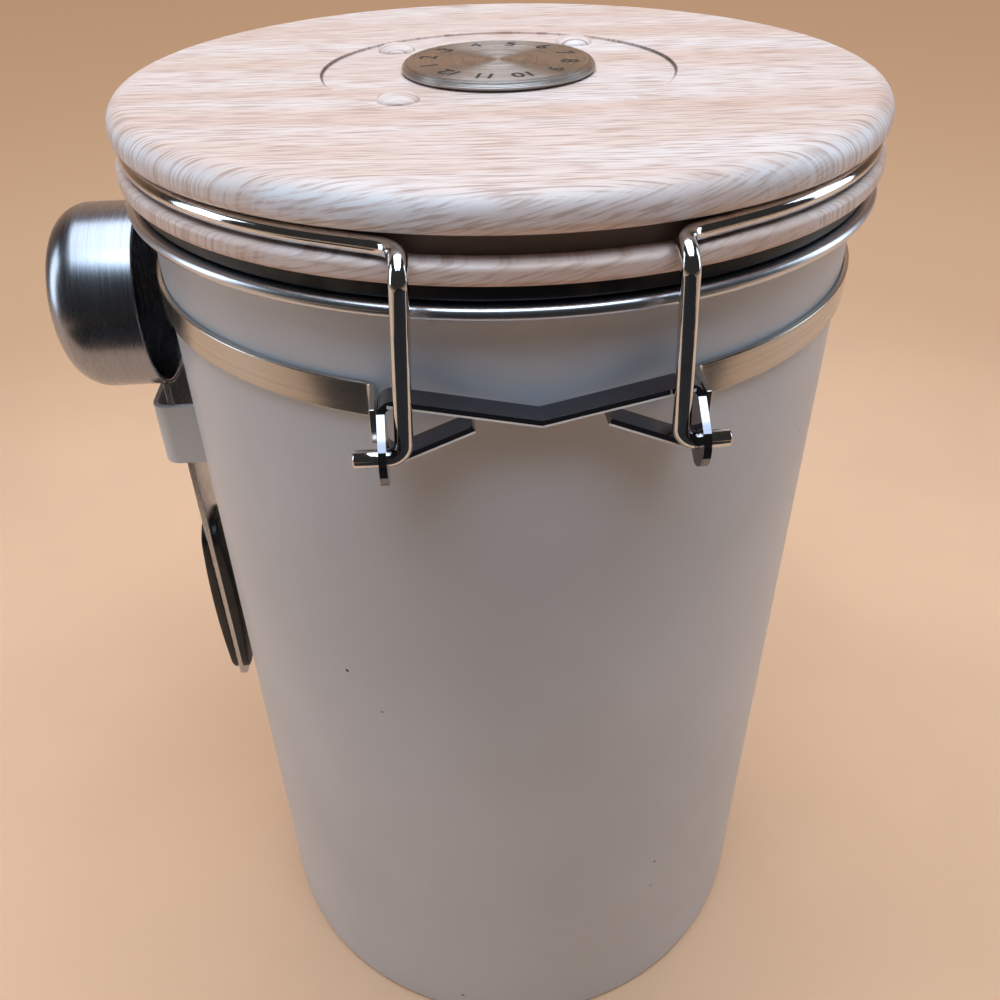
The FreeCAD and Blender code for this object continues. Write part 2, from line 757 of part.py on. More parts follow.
def latch():
    """Latch: a wire lever that turns in its bracket and a wire link whose bar drops into the groove."""
    pivot = Vector(0, size("hinge_reach"), size("pin_level"))
    swing = Rotation(X_AXIS, size("lever_rest"))
    lean = Rotation(X_AXIS, -size("lever_rest") * size("link_share"))
    arm = size("leg_offset")
    length = size("lever_length")
    half = [Vector(size("pin_end"), 0, 0), Vector(arm, 0, 0), Vector(arm, 0, size("lever_foot") - length),
            Vector(arm, size("lever_kick"), -length)]
    points = half + [mirrored(point) for point in reversed(half)]
    radii = [size("pin_bend"), size("knee_bend"), size("lever_bend")]
    loop = wire_form("lever_loop", bent_route([pivot + swing.multVec(point) for point in points],
                                              radii + radii[::-1]), "wire_radius")
    crank = pivot + swing.multVec(Vector(0, 0, -size("crank_drop")))
    bar = doc.addObject("Part::Cylinder", "lever_bar")
    bind(bar, Radius="bar_radius", Height="2 * leg_offset")
    bar.Placement = Placement(crank - Vector(arm, 0, 0), TURN_TO_X)
    keep(fused("latch_lever", loop, bar), "latch_lever")

    rise = size("wire_level") - size("crank_level")
    hook = size("link_seat") - size("hinge_reach")
    offset = size("link_offset")
    side = [Vector(offset, 0, size("eye_radius")), Vector(offset, 0, rise), Vector(offset, hook, rise)]
    points = side + [mirrored(point) for point in reversed(side)]
    radii = [size("link_bend") for _ in points[1:-1]]
    route = bent_route([crank + lean.multVec(point) for point in points], radii)
    pieces = [wire_form("link_loop", route, "link_radius")]
    for end in (-1, 1):
        eye = doc.addObject("Part::Torus", f"link_eye_{len(pieces)}")
        bind(eye, Radius1="eye_radius", Radius2="link_radius")
        eye.Placement = Placement(crank + Vector(end * offset, 0, 0), TURN_TO_X)
        pieces.append(eye)
    keep(fused("latch_link", *pieces), "latch_link")


def grip(label, face, thick, turn):
    """Half of the grip, bowed along its length, with rounded ends and edges."""
    body = keep(doc.addObject("PartDesign::Body", label), label)
    feature(body, "AdditiveBox", label + "_block", ("-grip_width / 2", "0", "0"),
            Length="grip_width", Width="grip_length", Height=thick)
    bow = doc.addObject("PartDesign::Body", label + "_bow")
    middle = ("-grip_width", "grip_length / 2", thick + " - grip_bow")
    feature(bow, "AdditiveCylinder", label + "_drum", middle, TURN_TO_X,
            Radius="grip_bow", Height="2 * grip_width")
    bowed = body.newObject("PartDesign::Boolean", label + "_bowed")
    bowed.setObjects([bow])
    bowed.Type = "Common"
    rounded(body, "grip_round", along(Z_AXIS))

    def on_free_side(edge):
        return all(corner.Z > TOLERANCE for corner in edge.Vertexes)

    rounded(body, "grip_edge", on_free_side)
    for height in ("rivet_inset", "grip_length - rivet_inset"):
        feature(body, "SubtractiveCylinder", label + "_hole", ("0", height, "-" + thick),
                Radius="rivet_radius + rivet_fit", Height="3 * " + thick)
    place(body, "-" + face, "0", "grip_low", turn=turn)


def scoop():
    """Scoop: spun cup, flat strap and two riveted grip halves, held in a loop on the can's side."""
    cup = revolved("scoop_cup", [
        (AXIS, "cup_floor"), ("cup_inner", "cup_floor"), ("cup_inner", GROUND), ("cup_radius", GROUND),
        ("cup_radius", "cup_depth"), (AXIS, "cup_depth")])
    rounded(cup, "cup_round", ring_at(("cup_radius", "cup_depth")))
    rounded(cup, "cup_inner_round", ring_at(("cup_inner", "cup_floor")))
    place(cup, "-strap_inner", "0", "cup_level", turn=TURN_TO_MINUS_X)

    strap = keep(doc.addObject("PartDesign::Body", "scoop_handle"), "scoop_handle")
    feature(strap, "AdditiveBox", "strap_blank", ("-strap_outer", "-strap_width / 2", "strap_tip"),
            Length="strap_thick", Width="strap_width", Height="strap_high - strap_tip")
    doc.recompute()
    tip = size("strap_tip")

    def at_tip(edge):
        return along(X_AXIS)(edge) and all(abs(end.Z - tip) < TOLERANCE for end in edge.Vertexes)

    rounded(strap, "strap_round", at_tip)
    feature(strap, "AdditiveBox", "strap_neck", ("-strap_outer", "-neck_width / 2", "neck_low"),
            Length="strap_thick", Width="neck_width", Height="strap_high - neck_low")
    through = "2 * strap_thick"
    outside = "-strap_outer - strap_thick / 2"
    feature(strap, "SubtractiveCylinder", "cup_seat", (outside, "0", "cup_level"), TURN_TO_X,
            Radius="cup_radius + seat_fit", Height=through)
    for level in ("rivet_low", "rivet_high"):
        feature(strap, "SubtractiveCylinder", "strap_hole", (outside, "0", level), TURN_TO_X,
                Radius="rivet_radius + rivet_fit", Height=through)

    facing_out = Rotation(Vector(0, -1, 0), Vector(0, 0, 1), Vector(-1, 0, 0), "ZXY")
    facing_in = Rotation(Vector(0, 1, 0), Vector(0, 0, 1), Vector(1, 0, 0), "ZXY")
    grip("grip_outer", "strap_outer", "grip_outer", facing_out)
    grip("grip_inner", "strap_inner", "grip_inner", facing_in)

    rivets = doc.addObject("Part::Compound", "grip_rivets")
    start = "rivet_sink - strap_outer - grip_outer"
    length = "grip_outer + strap_thick + grip_inner - 2 * rivet_sink"
    rivets.Links = [primitive("Cylinder", "rivet_at_" + level, (start, "0", level), TURN_TO_X,
                              Radius="rivet_radius", Height=length)
                    for level in ("rivet_low", "rivet_high")]
    keep(rivets, "grip_rivets")

    half = size("clip_half") + size("clip_wall") / 2
    front = -(size("clip_inside") + size("clip_wall") / 2)
    root = -size("can_inner") + size("clip_bend")
    level = size("clip_level")
    points = [Vector(root, -half, level), Vector(front, -half, level), Vector(front, half, level),
              Vector(root, half, level)]
    section = bent_strip(points, size("clip_wall"), size("clip_bend"))
    loop = extruded("clip_loop", section, Z_AXIS, "clip_height")
    shell = primitive("Cylinder", "clip_seat", Radius="can_radius + press_gap", Height="can_height")
    keep(cut("scoop_clip", loop, shell), "scoop_clip")


def export():
    """Checks every object and every sub-part, then writes one STEP file per node."""
    doc.recompute()
    broken = [item.Label for item in doc.Objects if {"Invalid", "Error"} & set(item.State)]
    broken += [item.Label for item in nodes if item.Shape.isNull() or not item.Shape.isValid()]
    if broken:
        raise ValueError("not built: " + ", ".join(broken))
    for item in nodes:
        item.Shape.exportStep(f"parts/{item.Label}.step")


fill_sheet()
can()
band("band_left", -1)
band("band_right", 1)
bracket("hinge_bracket", 0)
bracket("latch_bracket", 180)
bail_wire()
lid()
lid_screws()
valve()
dial()
latch()
scoop()
export()
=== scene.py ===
import logging
import math
from dataclasses import dataclass, field
from enum import Enum
from typing import ClassVar, Iterable, Sequence, Union

import bmesh
import bpy
from mathutils import Matrix, Vector


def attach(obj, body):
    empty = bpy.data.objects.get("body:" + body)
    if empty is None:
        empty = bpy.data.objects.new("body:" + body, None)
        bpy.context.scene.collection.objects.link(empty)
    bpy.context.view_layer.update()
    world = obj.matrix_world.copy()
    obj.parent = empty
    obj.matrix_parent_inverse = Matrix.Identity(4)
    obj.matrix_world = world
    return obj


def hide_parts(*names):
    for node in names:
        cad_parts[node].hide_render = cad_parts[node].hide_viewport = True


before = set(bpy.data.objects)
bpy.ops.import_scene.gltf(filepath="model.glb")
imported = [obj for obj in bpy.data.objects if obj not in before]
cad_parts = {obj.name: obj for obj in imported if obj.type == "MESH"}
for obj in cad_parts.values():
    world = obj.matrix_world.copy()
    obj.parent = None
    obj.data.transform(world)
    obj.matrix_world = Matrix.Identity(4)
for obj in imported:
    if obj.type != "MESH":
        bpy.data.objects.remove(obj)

log = logging.getLogger("canister")
Point = tuple[float, float]
Spot = tuple[float, float, float]
Colour = tuple[float, float, float]
Number = Union[float, "Sock"]
Place = tuple["Sock", "Sock", "Sock"]
Face = tuple[int, ...]
Arc = tuple[Vector, Vector, Vector, float]

MM = 0.001
NEVER = 1e6
BEAD_LOW = 169.0
LID_TOP = 184.2
SOFT = (0.3, 0.7)
BLACK = (0.0, 0.0, 0.0)


def srgb(red: int, green: int, blue: int) -> Colour:
    """Turns display values into linear ones.

    Args:
        red, green, blue: Display values from 0 to 255.

    Returns:
        The linear colour.
    """
    def linear(value: int) -> float:
        """Gives the linear share of one display value."""
        share = value / 255
        return share / 12.92 if share <= 0.04045 else ((share + 0.055) / 1.055) ** 2.4

    return linear(red), linear(green), linear(blue)


def shaded(colour: Colour, share: float) -> Colour:
    """Gives a share of a colour's light."""
    return tuple(part * share for part in colour)


def circle(steps: int) -> list[float]:
    """Gives the angles of a full turn in equal steps."""
    return [math.tau * step / steps for step in range(steps)]


def quarter(steps: int) -> list[float]:
    """Gives the angles of a quarter turn, with both ends."""
    return [math.pi * step / (2 * steps) for step in range(steps + 1)]


def polar(radius: float, angle: float, z: float = 0.0) -> Spot:
    """Gives the point at a radius, an angle about the upright axis and a height."""
    return radius * math.cos(angle), radius * math.sin(angle), z


def linked(name: str, data: bpy.types.ID) -> bpy.types.Object:
    """Makes an object and links it to the scene.

    Args:
        name: Object name.
        data: Its mesh, text, lamp or camera.

    Returns:
        The object.
    """
    made = bpy.data.objects.new(name, data)
    bpy.context.scene.collection.objects.link(made)
    return made


class Sock:
    """An output socket of a shader graph that takes part in arithmetic."""

    def __init__(self, graph: "Graph", socket: bpy.types.NodeSocket) -> None:
        """Keeps the graph and its socket."""
        self.graph = graph
        self.socket = socket

    def __add__(self, other: Number) -> "Sock":
        """Gives self + other."""
        return self.graph.math("ADD", self, other)

    def __radd__(self, other: Number) -> "Sock":
        """Gives other + self."""
        return self.graph.math("ADD", other, self)

    def __sub__(self, other: Number) -> "Sock":
        """Gives self - other."""
        return self.graph.math("SUBTRACT", self, other)

    def __rsub__(self, other: Number) -> "Sock":
        """Gives other - self."""
        return self.graph.math("SUBTRACT", other, self)

    def __mul__(self, other: Number) -> "Sock":
        """Gives self * other."""
        return self.graph.math("MULTIPLY", self, other)

    def __rmul__(self, other: Number) -> "Sock":
        """Gives other * self."""
        return self.graph.math("MULTIPLY", other, self)

    def __truediv__(self, other: Number) -> "Sock":
        """Gives self / other."""
        return self.graph.math("DIVIDE", self, other)

    def __rtruediv__(self, other: Number) -> "Sock":
        """Gives other / self."""
        return self.graph.math("DIVIDE", other, self)

    def __pow__(self, other: Number) -> "Sock":
        """Gives self ** other."""
        return self.graph.math("POWER", self, other)

    def __rpow__(self, other: Number) -> "Sock":
        """Gives other ** self."""
        return self.graph.math("POWER", other, self)

    def __abs__(self) -> "Sock":
        """Gives the size of the value without its sign."""
        return self.graph.math("ABSOLUTE", self, 0.0)

    def ramp(self, low: float, high: float) -> "Sock":
        """Gives a smooth step from 0 at the low value to 1 at the high one."""
        settings = {"interpolation_type": "SMOOTHSTEP"}
        return self.graph.node("ShaderNodeMapRange", settings, {0: self, 1: low, 2: high})

    def window(self, opens: Point, closes: Point) -> "Sock":
        """Gives 1 between two smooth steps, each from its first value to its second, and 0 beyond."""
        return self.ramp(*opens) * (1 - self.ramp(*closes))


class Graph:
    """The node graph of one material, with its Principled shader."""

    def __init__(self, name: str) -> None:
        """Starts a material.

        Args:
            name: Name of the material.
        """
        self.material = bpy.data.materials.new(name)
        self.material.use_nodes = True
        self.tree = self.material.node_tree
        self.shader = self.tree.nodes["Principled BSDF"]

    def node(self, kind: str, settings: dict, sockets: dict, output: int = 0) -> Sock:
        """Adds a node.

        Args:
            kind: Node type.
            settings: Properties set before the sockets.
            sockets: Input index or name to a value or a Sock.
            output: Index of the output that is wanted.

        Returns:
            The wanted output.
        """
        made = self.tree.nodes.new(kind)
        for name, value in settings.items():
            setattr(made, name, value)
        for key, value in sockets.items():
            self.feed(made.inputs[key], value)
        return Sock(self, made.outputs[output])

    def feed(self, target: bpy.types.NodeSocket, value: Union[Number, Sequence[float]]) -> None:
        """Links a Sock to an input, or sets the input's own value.

        Args:
            target: Input socket.
            value: A Sock, a number, a vector or a colour.
        """
        if isinstance(value, Sock):
            self.tree.links.new(value.socket, target)
        elif isinstance(value, (tuple, list)) and len(target.default_value) == 4:
            target.default_value = (*value[:3], 1.0)
        else:
            target.default_value = value

    def math(self, operation: str, left: Number, right: Number) -> Sock:
        """Adds a Math node and gives its value."""
        return self.node("ShaderNodeMath", {"operation": operation}, {0: left, 1: right})

    def mix(self, factor: Number, low: Union[Colour, Sock], high: Union[Colour, Sock]) -> Sock:
        """Mixes two colours by a factor and gives the colour."""
        return self.node("ShaderNodeMix", {"data_type": "RGBA"}, {0: factor, 6: low, 7: high}, 2)

    def place(self) -> Place:
        """Finds the place on the surface.

        Returns:
            x, y and z in the object's own frame, in millimetres.
        """
        spot = self.node("ShaderNodeTexCoord", {}, {}, 3)
        scaled = self.node("ShaderNodeVectorMath", {"operation": "SCALE"}, {0: spot, "Scale": 1 / MM})
        parts = self.node("ShaderNodeSeparateXYZ", {}, {0: scaled}).socket.node
        x, y, z = (Sock(self, part) for part in parts.outputs)
        return x, y, z

    def noise(self, x: Number, y: Number, z: Number, detail: float = 2.0, rough: float = 0.5) -> Sock:
        """Adds fractal noise.

        Args:
            x, y, z: Place, whose unit is one noise cell.
            detail: Number of finer layers.
            rough: Share of each finer layer.

        Returns:
            The noise, from 0 to 1.
        """
        spot = self.node("ShaderNodeCombineXYZ", {}, {0: x, 1: y, 2: z})
        inputs = {"Vector": spot, "Scale": 1.0, "Detail": detail, "Roughness": rough}
        return self.node("ShaderNodeTexNoise", {}, inputs)

    def mottle(self, place: Place, size: float, detail: float = 2.0, rough: float = 0.5) -> Sock:
        """Adds noise whose cells have one size in all directions.

        Args:
            place: Place on the surface.
            size: Size of a cell in millimetres.
            detail: Number of finer layers.
            rough: Share of each finer layer.

        Returns:
            The noise, from 0 to 1.
        """
        x, y, z = place
        return self.noise(x / size, y / size, z / size, detail, rough)

    def cells(self, place: Place, size: float) -> tuple[Sock, Sock]:
        """Strews points over the surface, one in each cell.

        Args:
            place: Place on the surface.
            size: Size of a cell in millimetres.

        Returns:
            The distance to the nearest point, in cells, and a random value of its cell.
        """
        x, y, z = place
        spot = self.node("ShaderNodeCombineXYZ", {}, {0: x / size, 1: y / size, 2: z / size})
        made = self.node("ShaderNodeTexVoronoi", {}, {"Vector": spot, "Scale": 1.0})
        hue = Sock(self, made.socket.node.outputs["Color"])
        return made, self.node("ShaderNodeSeparateColor", {}, {0: hue})

    def bump(self, height: Sock, depth: float, strength: float = 1.0) -> Sock:
        """Gives a normal from a height whose unit is the given depth in millimetres."""
        inputs = {"Strength": strength, "Distance": depth * MM, "Height": height}
        return self.node("ShaderNodeBump", {}, inputs)

    def surface(self, **inputs: Union[Number, Colour]) -> bpy.types.Material:
        """Feeds the Principled shader.

        Args:
            inputs: Values of its sockets, with underscores for the spaces in their names.

        Returns:
            The material.
        """
        for name, value in inputs.items():
            self.feed(self.shader.inputs[name.replace("_", " ")], value)
        return self.material


@dataclass(frozen=True)
class Finish:
    """A finish of the record's material slot.

    Attributes:
        slot: The record's slot that the finish belongs to.
        made: Materials of the finishes that are in use.
    """

    slot: str
    made: ClassVar[dict["Finish", bpy.types.Material]] = {}

    def paint(self, graph: Graph) -> bpy.types.Material:
        """Draws the finish in a graph and gives the material."""
        raise NotImplementedError

    def material(self) -> bpy.types.Material:
        """Makes the finish's material at its first use.

        Returns:
            The material.
        """
        if self not in self.made:
            self.made[self] = self.paint(Graph(f"{type(self).__name__}_{self.slot}"))
        return self.made[self]


@dataclass(frozen=True)
class SatinPaint(Finish):
    """Cream paint on steel with a faint orange peel and a few specks; bare metal above a level.

    Attributes:
        colour, shade: Tones of the paint.
        bare_above: Height above which the steel is bare.
        bare_blur: Half the height of the paint's soft end.
        metal, speck: Colours of the steel and the specks.
        cloud_width, cloud_height: Size of the areas of each tone.
        peel_size, peel_depth: Size and depth of the orange peel.
        speck_grid: Distance between places where a speck can be.
        speck_edge: Radii, in cells, between which a speck ends.
        speck_chance: Random values from which a place has its speck.
        rough: Roughness of the paint.
        coat, coat_rough: Share and roughness of its gloss.
    """

    colour: Colour
    shade: Colour
    bare_above: float = NEVER
    bare_blur: float = 0.15
    metal: Colour = srgb(206, 208, 214)
    speck: Colour = srgb(52, 44, 40)
    cloud_width: float = 45.0
    cloud_height: float = 60.0
    peel_size: float = 0.9
    peel_depth: float = 0.012
    speck_grid: float = 5.0
    speck_edge: Point = (0.05, 0.09)
    speck_chance: Point = (0.93, 0.94)
    rough: float = 0.36
    coat: float = 0.12
    coat_rough: float = 0.22

    def paint(self, graph: Graph) -> bpy.types.Material:
        """Draws the paint.

        Args:
            graph: The material's graph.

        Returns:
            The material.
        """
        x, y, z = place = graph.place()
        cloud = graph.noise(x / self.cloud_width, y / self.cloud_width, z / self.cloud_height, detail=3)
        peel = graph.mottle(place, self.peel_size)
        spot, chance = graph.cells(place, self.speck_grid)
        speck = (1 - spot.ramp(*self.speck_edge)) * chance.ramp(*self.speck_chance)
        bare = z.ramp(self.bare_above - self.bare_blur, self.bare_above + self.bare_blur)
        tone = graph.mix(cloud.ramp(*SOFT), self.colour, self.shade)
        tone = graph.mix(speck, tone, self.speck)
        return graph.surface(
            Base_Color=graph.mix(bare, tone, self.metal), Metallic=bare,
            Roughness=self.rough + cloud * 0.08 - bare * 0.12 + speck * 0.3,
            Normal=graph.bump(peel, self.peel_depth, strength=0.35),
            Coat_Weight=self.coat, Coat_Roughness=self.coat_rough)


class Grain(Enum):
    """Direction in which a brushed surface was worked, as the scale of x, y and z in the noise."""

    ROUND = (0.035, 0.035, 7.0)
    SPUN = (6.0, 0.06, 0.06)
    UPRIGHT = (6.0, 6.0, 0.05)


@dataclass(frozen=True)
class BrushedSteel(Finish):
    """Stainless steel with long fine brush lines and smears.

    Attributes:
        colour: Colour of the steel.
        grain: Direction of its brush lines.
        rough: Its roughness.
        depth: Depth of the lines.
        dull: Share of the colour in the dark lines.
        broad: How many times wider the broad lines are.
        broad_shift: Shift that sets the broad lines apart from the fine ones.
        smear_size: Size of the smears.
    """

    colour: Colour
    grain: Grain
    rough: float = 0.24
    depth: float = 0.01
    dull: float = 0.72
    broad: float = 4.0
    broad_shift: float = 9.0
    smear_size: float = 6.0

    def paint(self, graph: Graph) -> bpy.types.Material:
        """Draws the steel.

        Args:
            graph: The material's graph.

        Returns:
            The material.
        """
        place = graph.place()
        x, y, z = (part * scale for part, scale in zip(place, self.grain.value))
        line = graph.noise(x, y, z, detail=4, rough=0.65)
        broad = graph.noise(x / self.broad + self.broad_shift, y / self.broad, z / self.broad)
        smear = graph.mottle(place, self.smear_size, detail=3)
        bright = (line * 0.6 + broad * 0.4).ramp(0.25, 0.75)
        return graph.surface(
            Base_Color=graph.mix(bright, shaded(self.colour, self.dull), self.colour), Metallic=1.0,
            Roughness=self.rough + line * 0.14 + (smear - 0.5) * 0.1,
            Normal=graph.bump(line, self.depth, strength=0.6))


@dataclass(frozen=True)
class Run:
    """A straight run of a bent strip, seen from the front.

    Attributes:
        slope: Its rise for each millimetre away from the middle plane.
        middle: Height of its middle line, carried on to that plane.
        start: Distance from that plane at which it begins.
    """

    slope: float
    middle: float
    start: float


@dataclass(frozen=True)
class Plating(Finish):
    """Bright plated wire or strip with light handling marks, a trace of tarnish and, on the strip, a painted
    highlight along its lower front corner.

    Attributes:
        colour: Colour of the plating.
        rough: Its roughness.
        cut: Distance of the strip's front edge from the axis.
        cut_inset: How far short of it the edge is fully reached.
        cut_end: Half the length of that edge.
        runs: Straight runs of the strip, along whose lower front corner a pale line is painted as a
            highlight.
        corner_low, corner_high: Heights, from a run's middle line, between which that painted highlight
            starts and ends.
        blur: Width of the soft ends of the edge and the runs.
        sheared, tarnish, pit: Colours of the painted highlight, the tarnish and the pits.
        mark_size, tarnish_size: Sizes of the marks and of the areas of tarnish.
        tarnish_shift: Shift that sets the tarnish apart from the marks.
        pit_scale: Number of pits in a millimetre.
        mark_from, tarnish_from, pit_from: Values of their noise from which each of them shows.
        mark_depth: Depth of the marks.
    """

    colour: Colour
    rough: float = 0.07
    cut: float = NEVER
    cut_end: float = 18.8
    cut_inset: float = 0.03
    runs: tuple[Run, ...] = ()
    corner_low: Point = (-0.75, -0.65)
    corner_high: Point = (-0.26, -0.18)
    blur: float = 0.1
    sheared: Colour = srgb(244, 242, 240)
    tarnish: Colour = srgb(120, 112, 104)
    pit: Colour = srgb(46, 42, 40)
    mark_size: float = 1.7
    tarnish_size: float = 5.0
    tarnish_shift: float = 3.0
    pit_scale: float = 2.2
    mark_from: Point = (0.5, 0.8)
    tarnish_from: Point = (0.62, 0.78)
    pit_from: Point = (0.74, 0.8)
    mark_depth: float = 0.02

    def paint(self, graph: Graph) -> bpy.types.Material:
        """Draws the plating.

        Args:
            graph: The material's graph.

        Returns:
            The material.
        """
        x, y, z = place = graph.place()
        # Painted highlight: mask of the pale line along the strip's lower front corner.
        highlight_mask = self.shear(x, y, z)
        mark = graph.mottle(place, self.mark_size, detail=5, rough=0.6)
        wide, fine = self.tarnish_size, self.pit_scale
        tarnish = graph.noise(x / wide + self.tarnish_shift, y / wide, z / wide, detail=3)
        tarnish = tarnish.ramp(*self.tarnish_from)
        pit = graph.noise(x * fine, y * fine, z * fine, detail=1).ramp(*self.pit_from)
        tone = graph.mix(tarnish * 0.55, self.colour, self.tarnish)
        tone = graph.mix(pit * 0.7, tone, self.pit)
        # The painted highlight is pale, less metallic and rougher, standing in for the light caught by the
        # edge.
        return graph.surface(
            Base_Color=graph.mix(highlight_mask, tone, self.sheared), Metallic=1 - highlight_mask * 0.95,
            Roughness=self.rough + mark.ramp(*self.mark_from) * 0.12 + tarnish * 0.16 + highlight_mask * 0.3,
            Normal=graph.bump(mark, self.mark_depth, strength=0.25))

    def shear(self, x: Sock, y: Sock, z: Sock) -> Sock:
        """Finds the lower corner on the front edge of the strip, where a highlight is painted.

        Args:
            x, y, z: Place on the surface.

        Returns:
            1 on the painted highlight and 0 elsewhere.
        """
        aside = abs(x)
        highlight_mask = 0.0
        for run in self.runs:
            rise = z - aside * run.slope - run.middle
            begun = aside.ramp(run.start - self.blur, run.start)
            highlight_mask = highlight_mask + rise.window(self.corner_low, self.corner_high) * begun
        front = abs(y).ramp(self.cut - self.blur, self.cut - self.cut_inset)
        return highlight_mask * front * (1 - aside.ramp(self.cut_end - self.blur, self.cut_end))


class Layer(Enum):
    """Layers of the grain: length and width of the marks, and depth, detail and roughness in the noise."""

    SWAY = (48.0, 20.0, 2.0, 2.0, 0.5)
    BAND = (120.0, 11.0, 5.0, 3.0, 0.55)
    STREAK = (8.0, 0.46, 11.0, 2.0, 0.55)
    COMB = (5.0, 0.42, 23.0, 2.0, 0.55)
    LINE = (24.0, 1.3, 13.0, 3.0, 0.6)
    FIBRE = (6.0, 0.28, 17.0, 2.0, 0.6)
    CLOUD = (40.0, 7.0, 31.0, 3.0, 0.5)

    def draw(self, graph: Graph, along: Sock, across: Sock) -> Sock:
        """Draws the layer at a place along and across the grain and gives its noise."""
        length, width, depth, detail, rough = self.value
        return graph.noise(along / length, across / width, depth, detail, rough)


@dataclass(frozen=True)
class GrainPrint(Finish):
    """Whitewashed wood grain on a film pulled down over the edges, where it is paler, partly from the
    stretched print and partly as a painted sheen; a line of painted shade marks the recess step.

    Attributes:
        pale, tan, dark, white: Colours of the ground, its bands, the streaks and the whitewash, which also
            paints the sheen on the edge.
        level: Height of the flat top.
        step: Radius of the recess, where the film folds and a thin line of painted shade is drawn.
        wash: Share of the whitewash on the flat.
        pull: Share of a drop in height by which the film is drawn out.
        sway, skew: How far the grain wanders, and its slant.
        comb_skew: Slant of the streaks that run down the front and the back.
        brow, hem: Drops over which the pale edge with its painted sheen starts and ends.
        facing, turned: Shares of y in the radius and drops over which those streaks start.
        fold: Distances from the step over which the painted shade line ends.
        dust: Colour of the painted shade line at the step.
        band_from, line_from, streak_from, fibre_from, wash_from: Values of their noise over which each shows.
        line_share, streak_share, fibre_share, dust_share: How much of each shows at most.
        streak_loss: How much less of the streaks shows on the pale edge.
        depth: Depth of the print's relief.
        rough: Roughness of the film.
        coat, coat_rough: Share and roughness of its gloss.
    """

    pale: Colour
    tan: Colour
    dark: Colour
    white: Colour
    level: float
    step: float
    wash: float = 0.22
    pull: float = 0.3
    sway: float = 3.0
    skew: float = 0.03
    comb_skew: float = 0.26
    brow: Point = (0.2, 1.6)
    hem: Point = (4.6, 5.4)
    facing: Point = (0.74, 0.96)
    turned: Point = (0.3, 1.5)
    fold: Point = (0.08, 0.34)
    dust: Colour = srgb(70, 54, 48)
    band_from: Point = (0.36, 0.64)
    line_from: Point = (0.5, 0.72)
    streak_from: Point = (0.45, 0.66)
    fibre_from: Point = (0.52, 0.75)
    wash_from: Point = (0.46, 0.66)
    line_share: float = 0.45
    streak_share: float = 0.85
    fibre_share: float = 0.35
    dust_share: float = 0.9
    streak_loss: float = 0.3
    depth: float = 0.03
    rough: float = 0.4
    coat: float = 0.15
    coat_rough: float = 0.25

    def paint(self, graph: Graph) -> bpy.types.Material:
        """Draws the print.

        Args:
            graph: The material's graph.

        Returns:
            The material.
        """
        x, y, z = graph.place()
        drop = self.level - z
        radius = (x * x + y * y + 1) ** 0.5
        spread = 1 + drop * self.pull / radius
        x, y = x * spread, y * spread
        sway = Layer.SWAY.draw(graph, x, y)
        bent = y + (sway - 0.5) * self.sway + x * self.skew
        band, line, fibre, cloud, streak = (
            layer.draw(graph, x, bent)
            for layer in (Layer.BAND, Layer.LINE, Layer.FIBRE, Layer.CLOUD, Layer.STREAK))
        comb = Layer.COMB.draw(graph, x, drop + x * self.comb_skew)
        facing = (abs(y) / radius).ramp(*self.facing) * drop.ramp(*self.turned)
        streak = streak + (comb - streak) * facing
        # Pale edge: partly the stretched print, partly a painted sheen of the light caught by the rounded
        # edge.
        edge = drop.window(self.brow, self.hem)
        wash = cloud.ramp(*self.wash_from) * self.wash + edge * (cloud * 1.1 - 0.05)
        strong = self.streak_share - drop.ramp(*self.brow) * self.streak_loss
        # Painted shade: a thin dark line along the recess step, strongest on the left and right, where the
        # step's wall lies in shade.
        fold = 1 - abs(radius - self.step).ramp(*self.fold)
        body = graph.mix(band.ramp(*self.band_from), self.tan, self.pale)
        body = graph.mix(line.ramp(*self.line_from) * self.line_share, body, self.tan)
        body = graph.mix(wash, body, self.white)
        body = graph.mix(streak.ramp(*self.streak_from) * strong, body, self.dark)
        # Lays the painted shade line over the print.
        body = graph.mix(fold * (x / self.step) ** 4 * self.dust_share, body, self.dust)
        body = graph.mix(fibre.ramp(*self.fibre_from) * self.fibre_share, body, self.pale)
        return graph.surface(
            Base_Color=body, Roughness=self.rough + streak * 0.14,
            Normal=graph.bump(streak * 0.6 + fibre * 0.4, self.depth, strength=0.3),
            Coat_Weight=self.coat, Coat_Roughness=self.coat_rough)


@dataclass(frozen=True)
class Moulded(Finish):
    """Moulded plastic, rubber or silicone with a fine spark texture and a little pale dusting.

    Attributes:
        colour: Colour of the material.
        rough: Its roughness.
        dust: Share of the dusty tone where it lies thickest.
        texture: Depth of the spark texture.
        spark_size, cloud_size: Sizes of the texture and of the dusty areas.
        dust_colour: Colour of the dusty tone.
        dust_from: Values of its noise over which it shows.
    """

    colour: Colour
    rough: float = 0.5
    dust: float = 0.05
    texture: float = 0.02
    spark_size: float = 0.35
    cloud_size: float = 9.0
    dust_colour: Colour = srgb(196, 188, 178)
    dust_from: Point = (0.45, 0.8)

    def paint(self, graph: Graph) -> bpy.types.Material:
        """Draws the moulded surface.

        Args:
            graph: The material's graph.

        Returns:
            The material.
        """
        place = graph.place()
        spark = graph.mottle(place, self.spark_size)
        cloud = graph.mottle(place, self.cloud_size, detail=4)
        tone = graph.mix(cloud.ramp(*self.dust_from) * self.dust, self.colour, self.dust_colour)
        return graph.surface(
            Base_Color=tone, Roughness=self.rough + (cloud - 0.5) * 0.18,
            Normal=graph.bump(spark, self.texture, strength=0.5))


